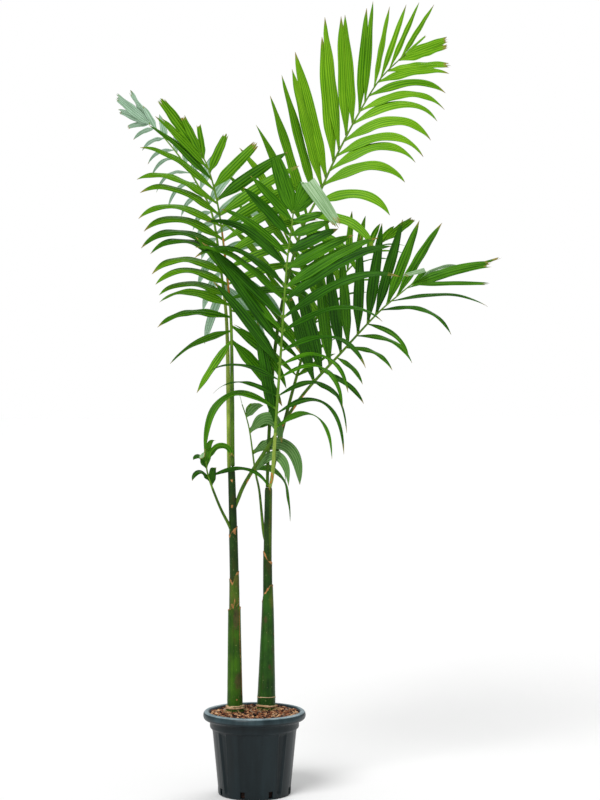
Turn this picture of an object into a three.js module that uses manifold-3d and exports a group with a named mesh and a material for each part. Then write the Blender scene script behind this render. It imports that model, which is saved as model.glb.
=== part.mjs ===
// A potted areca nut palm: a ribbed nursery pot filled with bark mix, and a clump of two slender
// green stems that carry eight arching fronds. Millimetres, +Z up, +X to the right of the front
// view. The origin is the centre of the pot's flat underside.

import * as THREE from 'three';
import * as BufferGeometryUtils from 'three/addons/utils/BufferGeometryUtils.js';
import Module from 'manifold-3d';

const wasm = await Module();
wasm.setup();

const gap = 0.3; // between pieces that meet
const ribSteps = 8;
const bladeSides = 3;
const up = new THREE.Vector3(0, 0, 1);
const down = new THREE.Vector3(0, 0, -1);
const behind = [[0, 1, 0], [0, 1, 0]];

const pot = {
  height: 219,
  rimRadius: 135.7,
  lipDrop: 23,
  lipDepth: 14,
  lipRound: 6,
  shoulderDrop: 44,
  shoulderRadius: 118,
  bodyTopRadius: 112.5,
  footRadius: 96,
  wall: 3,
  edge: 3, // bevel at the foot and the shoulder
  floorThickness: 4,
  segments: 40,
  fluteCount: 4,
  fluteFirst: 42.5, // degrees, anticlockwise from the front towards the right side
  fluteWidth: 28, // at the top
  fluteFootWidth: 13,
  fluteDepth: 2,
  fluteFoot: 16,
  drainCount: 8,
  drainFirst: 27.5,
  drainWidth: 12,
  drainHeight: 17,
};

const soil = { surface: 214, edgeDrop: 3, edgeWidth: 8, segments: 40 };

// Each stem is a stack of leaf sheaths. from and to are heights above the pot's underside, foot
// and mouth are radii, and slant is how much higher one side of the mouth stands, on the side
// that facing gives in degrees from the right.
const stems = {
  left: {
    axis: [[-52, 12, 210], [-53.5, 12, 420], [-54, 12, 560], [-57, 12, 700], [-61.5, 12, 855]],
    sides: 16,
    sheaths: [
      { from: 0, to: 0.045, foot: 24, mouth: 24.6, slant: 0, facing: 0, steps: 2 },
      { from: 0, to: 0.43, foot: 21, mouth: 16.6, slant: 9, facing: -20, steps: 4 },
      { from: 0.38, to: 0.565, foot: 14.6, mouth: 12.8, slant: 14, facing: 0, steps: 3 },
      { from: 0.52, to: 0.75, foot: 12, mouth: 11.4, slant: 10, facing: -10, steps: 3 },
      { from: 0.7, to: 1, foot: 10.8, mouth: 9.4, slant: 0, facing: 0, steps: 4 },
    ],
  },
  right: {
    axis: [[30, 38, 210], [32.5, 38, 350], [34.5, 38, 480], [34, 38, 620], [36.5, 38, 806]],
    sides: 16,
    sheaths: [
      { from: 0, to: 0.045, foot: 25.8, mouth: 26, slant: 0, facing: 0, steps: 2 },
      { from: 0, to: 0.53, foot: 25.4, mouth: 14.4, slant: 23, facing: 0, steps: 7 },
      { from: 0.45, to: 0.69, foot: 12.8, mouth: 11.8, slant: 15, facing: 180, steps: 3 },
      { from: 0.64, to: 1, foot: 11, mouth: 9.8, slant: 0, facing: 0, steps: 4 },
    ],
  },
};

// A frond is a bare stalk that rises from its stem and a blade of leaflets along the rest of its
// rib. rib is the course of both, bare the share of it that is stalk, face the way that the
// blade's upper side looks at its foot and at its tip. A side's leaflets follow profiles from the
// lowest leaflet to the last: width across, reach along, spread their angle from the rib, lift
// their rise out of the blade, sag how far gravity bends them in radians, turn how far they roll
// level as they bend. louvre is their twist out of the blade, and past bluntFrom they end ragged.
// tips are the broad leaflets at the rib's end, side in degrees to its left. A fold is a share of
// the length, an angle and how far its crease lies askew.
const fronds = {
  middle: {
    stem: 'right',
    seed: 11,
    rib: [[40, 33.5, 807], [48, 16, 850], [58, -10, 1000], [72, -40, 1192], [85, -58, 1383],
      [99, -68, 1494], [103, -72, 1531]],
    bare: 0.205,
    stalkRadius: [4.1, 5, 4],
    ribRadius: [4, 1.8],
    face: [[0, -1, 0.1], [0, -1, 0.35]],
    left: {
      count: 14,
      louvre: 12,
      width: [35, 22, 14, 15, 30, 30, 28, 28, 28, 27, 26, 27, 28, 26],
      reach: [284, 335, 215, 205, 275, 315, 334, 281, 286, 289, 254, 214, 183, 165],
      spread: [16, 56, 66, 66, 38, 37, 46, 46, 49, 51, 48, 53, 53, 46],
      lift: [8, 24, 24, 22, 16, 12, 11, 13, 19, 23, 18, 13, 9, 8],
      sag: [0, 5.2, 1.4, 1.1, 0.3, 0.1, 0, 0.2, 1, 1.6, 1.2, 0.6, 0.2, 0.1],
      turn: [0, 0.8, 0.7, 0.7, 0.3, 0.1, 0, 0.2, 0.4, 0.6, 0.5, 0.3, 0.1, 0],
    },
    right: {
      count: 14,
      louvre: 10,
      width: [18, 17, 17, 18, 25, 30, 36, 33, 30, 24],
      reach: [270, 300, 270, 260, 305, 335, 310, 180, 115, 90],
      spread: [48, 52, 56, 60, 56, 50, 47, 56, 60, 66],
      lift: [20, 22, 24, 26, 20, 8, 6, 6, 8, 6],
      sag: [4.6, 4.4, 3.6, 2.8, 1.5, 0.9, 0.5, 0.2, 0.1, 0],
      turn: [0.8, 0.8, 0.9, 0.9, 0.7, 0.3, 0.2, 0, 0, 0],
    },
    tips: [
      { side: 24, lift: 2, reach: 148, width: 44, sag: 0, fold: [1, 0, 0] },
      { side: -19, lift: 10, reach: 236, width: 38, sag: 0, fold: [0.37, 150, 30] },
      { side: -44, lift: 6, reach: 90, width: 26, sag: 0, fold: [1, 0, 0] },
    ],
  },
  right: {
    stem: 'left',
    seed: 23,
    rib: [[-57, 13, 745], [-45, 16, 775], [-23, 24, 824], [38, 36, 920], [126, 46, 1051],
      [230, 52, 1166], [324, 58, 1268], [390, 62, 1326], [422, 65, 1352]],
    bare: 0.5,
    stalkRadius: [5.2, 4.6, 4],
    ribRadius: [3.9, 1.6],
    face: [[0.2, -1, 0.2], [0.2, -1, 0.35]],
    left: {
      count: 11,
      louvre: 12,
      width: [36, 38, 36, 31, 31, 32, 31, 30, 27, 12],
      reach: [250, 285, 265, 255, 255, 265, 275, 250, 235, 190],
      spread: [60, 56, 53, 49, 45, 40, 34, 28, 24, -2],
      lift: [24, 22, 20, 18, 16, 14, 12, 10, 8, 16],
      sag: [0.05, 0.05, 0, 0, 0, 0, 0, 0, 0.1, 1.3],
      turn: [0, 0, 0, 0, 0, 0, 0, 0, 0, 0.3],
    },
    right: {
      count: 9,
      louvre: 8,
      width: [14, 16, 13, 16, 18, 15, 15, 19, 12, 12],
      reach: [90, 150, 100, 130, 215, 170, 150, 240, 260, 250],
      spread: [70, 72, 80, 64, 44, 60, 66, 34, 30, 22],
      lift: [10, 16, 20, 26, 28, 26, 20, 30, 12, 6],
      sag: [1, 1, 1.2, 1.4, 1.5, 1.6, 1.6, 1.7, 0.7, 0],
      turn: [0, 0.3, 0.3, 0.5, 0.5, 0.3, 0.4, 0.5, 0.2, 0.2],
      bluntFrom: 0.9,
    },
    tips: [
      { side: -20, lift: 4, reach: 215, width: 27, sag: 0.3, fold: [1, 0, 0] },
      { side: -38, lift: 4, reach: 200, width: 12, sag: 0.1, fold: [1, 0, 0] },
      { side: 4, lift: 22, reach: 130, width: 13, sag: 0.1, fold: [0.4, 120, -10] },
    ],
  },
  left: {
    stem: 'left',
    seed: 37,
    rib: [[-56.4, 8.4, 856], [-58, 3, 900], [-61, -6, 1222], [-69, -14, 1337], [-85, -28, 1483],
      [-99, -38, 1570], [-119, -48, 1644], [-139, -56, 1687]],
    bare: 0.39,
    stalkRadius: [4.9, 5.4, 4.1],
    ribRadius: [3.9, 1.7],
    face: [[-0.1, -1, 0.3], [0.25, -1, 0.5]],
    left: {
      count: 17,
      louvre: 6,
      width: [21, 24, 28, 30, 30, 28, 27, 27, 24, 20],
      reach: [165, 230, 240, 250, 262, 270, 262, 250, 215, 160],
      spread: [142, 76, 62, 60, 60, 58, 54, 44, 31, 18],
      lift: [16, 32, 30, 30, 28, 26, 22, 16, 10, 6],
      sag: [0.3, 1, 1.15, 1.3, 1.4, 1.4, 1.2, 1, 0.4, 0.1],
      turn: [0.6, 0.6, 0.6, 0.6, 0.6, 0.5, 0.5, 0.4, 0.2, 0],
    },
    right: {
      count: 14,
      louvre: 10,
      width: [34, 24, 24, 24, 26, 28, 31, 32, 28, 16],
      reach: [215, 225, 235, 240, 250, 275, 255, 225, 120, 88],
      spread: [150, 118, 78, 70, 68, 66, 66, 64, 54, 22],
      lift: [28, 14, 12, 12, 10, 10, 8, 4, 4, 4],
      sag: [0.7, 1.6, 1.2, 0.9, 0.7, 0.5, 0.3, 0.1, 0, 0],
      turn: [0.2, 0.3, 0.3, 0.3, 0.3, 0.2, 0.1, 0, 0, 0],
      bluntFrom: 0.84,
    },
    tips: [
      { side: 14, lift: 2, reach: 172, width: 32, sag: 0, fold: [1, 0, 0] },
      { side: 6, lift: 8, reach: 108, width: 22, sag: 0, fold: [1, 0, 0] },
    ],
  },
  top_right: {
    stem: 'right',
    seed: 41,
    rib: [[33, 42.5, 807], [34, 54, 860], [38, 64, 960], [49, 84, 1142], [74, 112, 1311],
      [120, 146, 1490], [168, 172, 1594], [214, 200, 1699], [279, 240, 1829], [344, 278, 1938],
      [418, 318, 2018]],
    bare: 0.4,
    stalkRadius: [4.1, 4.9, 4.2],
    ribRadius: [4.1, 1.6],
    face: [[0.1, -1, 0.1], [0.1, -1, 0.25]],
    left: {
      count: 19,
      louvre: 14,
      width: [28, 30, 33, 36, 40, 43, 40, 38, 29, 19, 17, 16],
      reach: [250, 280, 300, 330, 340, 350, 372, 340, 300, 268, 236, 200],
      spread: [60, 56, 50, 46, 41, 36, 34, 31, 27, 23, 20, 15],
      lift: [30, 28, 26, 24, 22, 20, 18, 16, 14, 12, 10, 8],
      sag: [0.5, 0.4, 0.5, 0.3, 0.1, 0, 0, 0, 0, 0, 0, 0],
      turn: [0.2, 0.2, 0, 0, 0, 0, 0, 0, 0, 0, 0, 0],
    },
    right: {
      count: 16,
      louvre: 6,
      width: [24, 26, 28, 30, 34, 37, 36, 35, 28, 25, 33, 32],
      reach: [170, 200, 220, 235, 250, 262, 278, 272, 260, 225, 180, 140],
      spread: [112, 106, 96, 70, 46, 37, 35, 33, 33, 34, 36, 26],
      lift: [34, 34, 32, 30, 28, 26, 24, 22, 18, 14, 8, 4],
      sag: [1.2, 1.3, 1.5, 1.7, 1.8, 1.9, 2, 1.9, 1.6, 1.2, 0.3, 0],
      turn: [0.1, 0.1, 0.1, 0.1, 0.1, 0, 0, 0, 0, 0, 0, 0],
      bluntFrom: 0.88,
    },
    tips: [
      { side: -4, lift: 4, reach: 88, width: 7, sag: 0, fold: [1, 0, 0] },
      { side: -25, lift: 4, reach: 132, width: 26, sag: 0, fold: [1, 0, 0] },
    ],
  },
  back_left: {
    stem: 'left',
    seed: 53,
    rib: [[-67.2, 15.6, 856], [-69, 24, 900], [-75, 66, 1214], [-90, 104, 1364], [-119, 146, 1545],
      [-168, 178, 1644], [-216, 208, 1717], [-270, 240, 1784], [-300, 258, 1814]],
    bare: 0.46,
    stalkRadius: [4.9, 5.5, 3.9],
    ribRadius: [3.7, 1.6],
    face: [[0.5, 0.8, 0.3], [0.5, 0.8, 0.6]],
    left: {
      count: 12,
      louvre: 12,
      width: [38, 30, 26, 24, 20, 18],
      reach: [235, 215, 180, 170, 140, 110, 85, 75, 80, 80],
      spread: [146, 120, 62, 58, 54, 48, 42, 36, 28, 16],
      lift: [30, 34, 38, 42, 46, 50, 50, 46, 30, 10],
      sag: [0.8, 0.9, 1, 0.9, 0.7, 0.5, 0.4, 0.3, 0.2, 0.1],
      turn: [0.4, 0.4, 0.4, 0.3, 0.3, 0.2, 0.2, 0.1, 0, 0],
    },
    right: {
      count: 13,
      louvre: 24,
      width: [24, 22, 18, 15, 13, 13, 14],
      reach: [170, 150, 120, 110, 130, 180, 190, 165, 130, 110],
      spread: [128, 108, 86, 70, 60, 54, 48, 44, 44, 44],
      lift: [14, 16, 18, 18, 16, 14, 12, 10, 8, 6],
      sag: [0.8, 1, 1.4, 1.5, 1.5, 1.5, 1.4, 1.2, 0.9, 0.6],
      turn: [0.7, 0.7, 0.6, 0.6, 0.6, 0.6, 0.5, 0.4, 0.3, 0.2],
    },
    tips: [
      { side: -9, lift: 4, reach: 158, width: 34, sag: 0, fold: [1, 0, 0] },
      { side: -24, lift: 8, reach: 160, width: 25, sag: 0.1, fold: [1, 0, 0] },
      { side: -40, lift: 10, reach: 134, width: 15, sag: 0.2, fold: [1, 0, 0] },
      { side: 10, lift: 8, reach: 118, width: 26, sag: 0, fold: [1, 0, 0] },
    ],
  },
  back_right: {
    stem: 'right',
    seed: 67,
    rib: [[40.5, 44, 807], [50, 58, 860], [61, 72, 914], [75, 90, 968], [106, 130, 1085],
      [147, 176, 1221], [207, 228, 1343], [289, 276, 1438], [366, 312, 1494]],
    bare: 0.36,
    stalkRadius: [4.1, 4.6, 4],
    ribRadius: [3.9, 1.6],
    face: [[0.1, -1, 0.5], [0.3, -1, 0.7]],
    left: {
      count: 12,
      louvre: 14,
      width: [20, 24, 24, 22, 20, 17],
      reach: [230, 240, 250, 250, 240, 220, 200, 160, 110, 80],
      spread: [66, 62, 58, 54, 50, 46, 42, 36, 28, 20],
      lift: [20, 20, 20, 18, 18, 16, 14, 12, 10, 8],
      sag: [0.4, 0.4, 0.4, 0.4, 0.4, 0.4, 0.4, 0.4, 0.4, 0.4],
      turn: [0.2, 0.2, 0.2, 0.2, 0.2, 0.2, 0.2, 0.2, 0.2, 0.2],
    },
    right: {
      count: 10,
      louvre: 16,
      width: [22, 20, 16, 12, 11, 10],
      reach: [120, 120, 130, 140, 150, 150, 140, 130, 120, 90],
      spread: [38, 38, 38, 38, 36, 34, 34, 32, 30, 26],
      lift: [24, 24, 22, 22, 20, 18, 16, 14, 12, 10],
      sag: [0.5, 0.5, 0.6, 0.7, 0.8, 0.9, 1, 0.9, 0.8, 0.6],
      turn: [0.6, 0.6, 0.6, 0.6, 0.5, 0.5, 0.4, 0.4, 0.3, 0.2],
    },
    tips: [
      { side: 4, lift: 4, reach: 105, width: 26, sag: 0.2, fold: [1, 0, 0] },
    ],
  },
  old_middle: {
    stem: 'right',
    seed: 71,
    rib: [[32, 40, 655], [23, 42, 692], [12, 60, 794], [0, 76, 850], [-14, 92, 948],
      [-24, 98, 992], [-36, 100, 1028]],
    bare: 0.48,
    stalkRadius: [5, 3.8, 3],
    ribRadius: [2.9, 1.5],
    face: [[1, 0.1, 0.3], [1, 0.1, 0.3]],
    left: {
      count: 4,
      louvre: 0,
      width: [27, 34, 36, 22],
      reach: [190, 215, 165, 70],
      spread: [62, 62, 62, 56],
      lift: [52, 54, 56, 56],
      sag: [5, 5.2, 4.2, 1.4],
      turn: [0.3, 0.3, 0.3, 0.3],
    },
    right: {
      count: 4,
      louvre: 0,
      width: [24, 32, 32, 20],
      reach: [250, 220, 190, 70],
      spread: [84, 60, 60, 50],
      lift: [44, 46, 48, 50],
      sag: [5, 4.8, 4, 1.2],
      turn: [0.5, 0.5, 0.5, 0.4],
    },
    tips: [
      { side: 0, lift: 4, reach: 30, width: 8, sag: 0.2, fold: [1, 0, 0] },
    ],
  },
  old_left: {
    stem: 'left',
    seed: 83,
    rib: [[-57, 11, 668], [-64, 7, 700], [-90, -4, 754], [-114, -14, 816], [-124, -18, 850],
      [-128, -20, 880]],
    bare: 0.66,
    stalkRadius: [4.6, 3.6, 3],
    ribRadius: [2.9, 1.6],
    face: [[0.4, -1, 0.4], [0.4, -1, 0.4]],
    left: {
      count: 2,
      louvre: 0,
      width: [18, 22],
      reach: [78, 66],
      spread: [20, 14],
      lift: [26, 20],
      sag: [3.3, 3],
      turn: [0.5, 0.5],
    },
    right: {
      count: 3,
      louvre: 0,
      width: [20, 13, 20],
      reach: [70, 195, 84],
      spread: [26, 84, 8],
      lift: [30, 12, 20],
      sag: [3.2, 2.2, 3.8],
      turn: [0.6, 0.5, 0.6],
    },
    tips: [
      { side: 10, lift: 24, reach: 64, width: 24, sag: 3.4, fold: [1, 0, 0] },
      { side: -34, lift: 8, reach: 104, width: 17, sag: 3.9, fold: [1, 0, 0] },
    ],
  },
};

const leaf = {
  footShare: 0.24, // of the full width, where the leaflet leaves the rib
  swell: 0.3, // share of its length by which it has its full width
  taper: 4.6,
  bluntTaper: 4,
  thickness: 0.0115, // of its length
  footDepth: 0.45, // of the thickness, at the foot inside the rib
  tipShare: 0.55, // of the thickness, left at the tip
  bluntShare: 0.62, // of the width, left at the ragged end of a tip leaflet
  reachJitter: 0.05,
  angleJitter: 3,
  twistJitter: 7,
  nudges: [0, 5, -5, 10, -10, 16, -16, 24, -24, 34, -34],
  margin: 0.8, // kept clear round a leaflet
};

const looks = {
  pot: { color: 0x2f373b, roughness: 0.5, metalness: 0 },
  soil: { color: 0x6b4531, roughness: 0.95, metalness: 0 },
  stem: { color: 0x3f6b2a, roughness: 0.4, metalness: 0 },
  stalk: { color: 0x5f8636, roughness: 0.45, metalness: 0 },
  frond: { color: 0x4a8a24, roughness: 0.45, metalness: 0 },
};

const radians = THREE.MathUtils.degToRad;

function rampAt(values, share) {
  const place = Math.min(Math.max(share, 0), 1) * (values.length - 1);
  const low = Math.min(Math.floor(place), values.length - 2);
  return values[low] + (values[low + 1] - values[low]) * (place - low);
}

function seededDraws(seed) {
  let state = seed * 7919;
  return () => {
    state = (Math.imul(state, 1664525) + 1013904223) >>> 0;
    return (state / 4294967296) * 2 - 1;
  };
}

function toSolid(geometry) {
  const bare = geometry.index ? geometry.clone() : geometry;
  bare.deleteAttribute('normal');
  bare.deleteAttribute('uv');
  const merged = BufferGeometryUtils.mergeVertices(bare, 1e-4);
  return new wasm.Manifold(new wasm.Mesh({
    numProp: 3,
    vertProperties: new Float32Array(merged.attributes.position.array),
    triVerts: new Uint32Array(merged.index.array),
  }));
}

function toGeometry(solid) {
  const mesh = solid.getMesh();
  const geometry = new THREE.BufferGeometry();
  geometry.setAttribute('position', new THREE.BufferAttribute(mesh.vertProperties, 3));
  geometry.setIndex(new THREE.BufferAttribute(mesh.triVerts, 1));
  return BufferGeometryUtils.toCreasedNormals(geometry, radians(30));
}

function joined(solids) {
  return wasm.Manifold.union(solids);
}

// Turns the diagonals of one side of a cylinder the other way, so that the two faces of a twisted
// blade have theirs side by side and never cross.
function turnDiagonals(geometry, sides, side) {
  const index = geometry.index.array;
  for (let start = 0; start + 6 <= index.length; start += 3) {
    const [a, b, d, alsoB, c, alsoD] = index.slice(start, start + 6);
    if (b === alsoB && d === alsoD && a % (sides + 1) === side) {
      index.set([a, b, c, a, c, d], start);
    }
  }
}

// Moves every vertex of a unit cylinder along Y to where place(x, share, z) says.
function bentCylinder(sides, steps, pointed, place) {
  const geometry = new THREE.CylinderGeometry(pointed ? 0 : 1, 1, 1, sides, steps);
  if (sides === bladeSides) {
    turnDiagonals(geometry, sides, 1);
  }
  const positions = geometry.attributes.position;
  const vertex = new THREE.Vector3();
  for (let index = 0; index < positions.count; index += 1) {
    vertex.fromBufferAttribute(positions, index);
    const share = vertex.y + 0.5;
    const scale = pointed && share < 0.999 ? 1 / (1 - share) : 1;
    const moved = place(vertex.x * scale, share, vertex.z * scale);
    positions.setXYZ(index, moved.x, moved.y, moved.z);
  }
  return toSolid(geometry);
}

function courseOf(points) {
  const vectors = points.map((point) => new THREE.Vector3(...point));
  const course = new THREE.CatmullRomCurve3(vectors, false, 'catmullrom', 0.5);
  course.arcLengthDivisions = 400;
  return course;
}

// The way along, the way across to the left and the way that the upper side looks, at one place
// of a rib.
function frameAt(course, share, face) {
  const along = course.getTangentAt(share);
  const looking = new THREE.Vector3().lerpVectors(
    new THREE.Vector3(...face[0]), new THREE.Vector3(...face[1]), share);
  looking.addScaledVector(along, -looking.dot(along)).normalize();
  const across = new THREE.Vector3().crossVectors(looking, along);
  return { along, across, looking };
}

// A round limb along a course, from one share of it to another. Its mouth can be slanted.
function limb({ course, from, to, radiusAt, sides, steps, grow = 0, slant = 0, facing = 0,
  face = behind }) {
  const reach = course.getLength();
  return bentCylinder(sides, steps, false, (x, share, z) => {
    const place = from + (to - from) * share;
    const centre = course.getPointAt(Math.min(Math.max(place, 0), 1));
    const { along, across, looking } = frameAt(course, Math.min(Math.max(place, 0), 1), face);
    const radius = radiusAt(share) + grow;
    const rise = slant * share ** 3 * (z * Math.sin(radians(facing)) - x * Math.cos(radians(facing)));
    const beyond = place > 1 ? (place - 1) * reach : place < 0 ? place * reach : 0;
    return centre.addScaledVector(across, -x * radius)
      .addScaledVector(looking, z * radius)
      .addScaledVector(along, rise + beyond);
  });
}

function leafWidthAt(share, blunt) {
  const rise = THREE.MathUtils.smoothstep(share, 0, leaf.swell);
  const body = leaf.footShare + (1 - leaf.footShare) * rise;
  const lost = blunt ? (1 - leaf.bluntShare) * share ** leaf.bluntTaper : share ** leaf.taper;
  return body * (1 - lost);
}

// One leaflet: a thin three-sided blade that leaves its root along heading, bends under its own
// weight and rolls level as it bends. edge points across it.
function leaflet({ root, heading, edge, reach, width, sag, turn, twist, fold, blunt, grow = 0 }) {
  const steps = sag > 1 || fold[0] < 1 ? 5 : sag > 0.35 ? 4 : 3;
  const fine = 24;
  const foldStep = Math.round(fold[0] * fine);
  const stations = [];
  const place = root.clone();
  const way = heading.clone();
  const rim = edge.clone().applyAxisAngle(way, radians(twist));
  const crease = rim.clone();
  const side = Math.sign(new THREE.Vector3().crossVectors(way, up).dot(rim)) || 1;
  for (let step = 0; step <= fine; step += 1) {
    const share = step / fine;
    const level = new THREE.Vector3().crossVectors(way, up).multiplyScalar(side);
    const flat = level.length();
    const across = new THREE.Vector3().crossVectors(way, rim);
    const roll = Math.atan2(level.dot(across), level.dot(rim));
    const rolled = rim.clone().applyAxisAngle(
      way, roll * turn * flat * THREE.MathUtils.smoothstep(share, 0, 0.6));
    stations.push({ place: place.clone(), way: way.clone(), rim: rolled });
    place.addScaledVector(way, reach / fine);
    way.addScaledVector(down, (sag * 2 * (share + 0.5 / fine)) / fine).normalize();
    if (step === foldStep - 1) {
      crease.copy(rim).applyAxisAngle(new THREE.Vector3().crossVectors(rim, way), radians(fold[2]));
    }
    if (step === foldStep - 1 || step === foldStep) {
      way.applyAxisAngle(crease, radians(fold[1] / 2));
      rim.applyAxisAngle(crease, radians(fold[1] / 2));
    }
    rim.addScaledVector(way, -rim.dot(way)).normalize();
  }
  return bentCylinder(bladeSides, steps, !blunt, (x, share, z) => {
    const station = stations[Math.round(share * fine)];
    const facing = new THREE.Vector3().crossVectors(station.rim, station.way);
    const atTip = share > 0.999;
    const half = (leafWidthAt(share, blunt) * width) / 2 + grow;
    const slim = leaf.footDepth + (1 - leaf.footDepth) * THREE.MathUtils.smoothstep(share, 0, 0.15);
    const deep = leaf.thickness * reach * slim * (1 - (1 - leaf.tipShare) * share) + grow * 2;
    const spread = atTip && !blunt ? 0 : 1;
    return station.place.clone()
      .addScaledVector(station.rim, (-spread * x * half) / Math.sin(radians(60)))
      .addScaledVector(facing, (-spread * z * deep) / 1.5)
      .addScaledVector(station.way, atTip ? grow * 2 : 0);
  });
}

// The stack of sheaths, cut flat at the soil.
function stemSolid(stem, grow) {
  const course = courseOf(stem.axis);
  const whole = joined(stem.sheaths.map((sheath) => limb({
    course,
    from: sheath.from,
    to: sheath.to + (grow && sheath.to === 1 ? grow / course.getLength() : 0),
    radiusAt: (share) => sheath.foot + (sheath.mouth - sheath.foot) * share,
    sides: stem.sides,
    steps: sheath.steps,
    slant: sheath.slant,
    facing: sheath.facing,
    grow,
  })));
  return whole.trimByPlane([0, 0, 1], soil.surface + gap);
}

function stalkSolid(frond, course, grownStem) {
  const whole = limb({
    course,
    from: 0,
    to: frond.bare - gap / 2 / course.getLength(),
    radiusAt: (share) => rampAt(frond.stalkRadius, share),
    sides: 7,
    steps: 10,
  });
  return whole.subtract(grownStem);
}

// A rib is four-sided, its flat sides to the left and right, where its leaflets stand.
function ribSolid(frond, course) {
  const from = frond.bare + gap / 2 / course.getLength();
  return bentCylinder(4, ribSteps, false, (x, share, z) => {
    const place = from + (1 - from) * share;
    const { across, looking } = frameAt(course, place, frond.face);
    const radius = rampAt(frond.ribRadius, share) * 0.9;
    return course.getPointAt(place)
      .addScaledVector(across, -(x - z) * radius)
      .addScaledVector(looking, (x + z) * radius);
  });
}

function overlaps(solid, neighbours) {
  const box = solid.boundingBox();
  return neighbours.some(({ body, bounds }) => {
    const apart = [0, 1, 2].some((axis) => (
      box.max[axis] < bounds.min[axis] || box.min[axis] > bounds.max[axis]));
    return !apart && solid.intersect(body).volume() > 0;
  });
}

// Grows the leaflets of one side by its profiles. A leaflet that would touch another frond, a
// stalk or a stem is tilted a little, and left out where no tilt clears it.
function growSide(frond, course, side, hand, draw, neighbours, leaflets) {
  for (let number = 0; number < side.count; number += 1) {
    const order = number / (side.count - 1);
    const share = (number + 0.4 + 0.15 * draw()) / side.count;
    const place = frond.bare + (1 - frond.bare) * share;
    const reach = rampAt(side.reach, order) * (1 + leaf.reachJitter * draw());
    const spreadJitter = leaf.angleJitter * draw();
    const liftJitter = leaf.angleJitter * draw();
    const twist = hand * side.louvre + leaf.twistJitter * draw();
    const { along, across, looking } = frameAt(course, place, frond.face);
    const root = course.getPointAt(place);
    leaf.nudges.some((nudge) => {
      const spread = radians(rampAt(side.spread, order) + spreadJitter + nudge / 2);
      const lift = radians(rampAt(side.lift, order) + liftJitter + nudge);
      const heading = along.clone().multiplyScalar(Math.cos(spread))
        .addScaledVector(across, hand * Math.sin(spread) * Math.cos(lift))
        .addScaledVector(looking, Math.sin(spread) * Math.sin(lift));
      const edge = along.clone().multiplyScalar(hand);
      edge.addScaledVector(heading, -edge.dot(heading)).normalize();
      const shape = {
        root,
        heading,
        edge,
        reach,
        width: rampAt(side.width, order),
        sag: rampAt(side.sag, order),
        turn: rampAt(side.turn, order),
        twist,
        fold: [1, 0, 0],
        blunt: order > (side.bluntFrom ?? 1),
      };
      if (overlaps(leaflet({ ...shape, grow: leaf.margin }), neighbours)) {
        return false;
      }
      leaflets.push(leaflet(shape));
      return true;
    });
  }
}

function growTips(frond, course, neighbours, leaflets) {
  const { along, across, looking } = frameAt(course, 1, frond.face);
  for (const tip of frond.tips) {
    const side = radians(tip.side);
    const lift = radians(tip.lift);
    const heading = along.clone().multiplyScalar(Math.cos(side) * Math.cos(lift))
      .addScaledVector(across, Math.sin(side) * Math.cos(lift))
      .addScaledVector(looking, Math.sin(lift));
    const edge = across.clone().negate();
    edge.addScaledVector(heading, -edge.dot(heading)).normalize();
    const shape = {
      root: course.getPointAt(1).addScaledVector(along, -4),
      heading,
      edge,
      reach: tip.reach,
      width: tip.width,
      sag: tip.sag,
      turn: 0,
      twist: 0,
      fold: tip.fold,
      blunt: true,
    };
    if (!overlaps(leaflet({ ...shape, grow: leaf.margin }), neighbours)) {
      leaflets.push(leaflet(shape));
    }
  }
}

function potSolid() {
  const lipBottom = pot.height - pot.lipDrop;
  const shoulder = pot.height - pot.shoulderDrop;
  const inner = (radius) => radius - pot.wall;
  const profile = [
    [0, 0],
    [pot.footRadius - pot.edge, 0],
    [pot.footRadius, pot.edge],
    [pot.bodyTopRadius, shoulder - pot.edge],
    [pot.shoulderRadius, shoulder],
    [pot.shoulderRadius, lipBottom],
    [pot.rimRadius - pot.lipRound, lipBottom],
    [pot.rimRadius, lipBottom + pot.lipRound],
    [pot.rimRadius, pot.height - pot.lipRound],
    [pot.rimRadius - pot.lipRound, pot.height],
    [pot.rimRadius - pot.lipDepth, pot.height],
    [pot.rimRadius - pot.lipDepth - pot.edge, pot.height - pot.lipDrop / 2],
    [inner(pot.shoulderRadius), lipBottom - pot.edge],
    [inner(pot.bodyTopRadius), shoulder - 2 * pot.edge],
    [inner(pot.footRadius), pot.floorThickness],
    [0, pot.floorThickness],
  ];
  const shell = new THREE.LatheGeometry(
    profile.map(([radius, height]) => new THREE.Vector2(radius, height)), pot.segments);
  shell.rotateX(Math.PI / 2);
  let solid = toSolid(shell);
  for (let number = 0; number < pot.fluteCount; number += 1) {
    solid = solid.subtract(fluteCut(pot.fluteFirst + (number * 360) / pot.fluteCount));
  }
  for (let number = 0; number < pot.drainCount; number += 1) {
    solid = solid.subtract(drainCut(pot.drainFirst + (number * 360) / pot.drainCount));
  }
  return solid;
}

// An upright flute, wider at its top: a flattened bar pressed into the wall, leaning with it.
function fluteCut(angle) {
  const top = pot.height - pot.shoulderDrop;
  const length = top - pot.fluteFoot;
  const radii = [pot.fluteFootWidth / 2, pot.fluteWidth / 2];
  const flatness = 0.5;
  const lean = (pot.bodyTopRadius - pot.footRadius) / top;
  const bar = new THREE.CylinderGeometry(radii[1], radii[0], length, 10, 1);
  bar.rotateX(Math.PI / 2);
  bar.scale(1, flatness, 1);
  bar.translate(0, 0, pot.fluteFoot + length / 2);
  const positions = bar.attributes.position;
  for (let index = 0; index < positions.count; index += 1) {
    const height = positions.getZ(index);
    const halfDepth = flatness * rampAt(radii, (height - pot.fluteFoot) / length);
    const outward = pot.footRadius + lean * height + halfDepth - pot.fluteDepth;
    positions.setY(index, positions.getY(index) - outward);
  }
  bar.rotateZ(radians(angle));
  return toSolid(bar);
}

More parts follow.
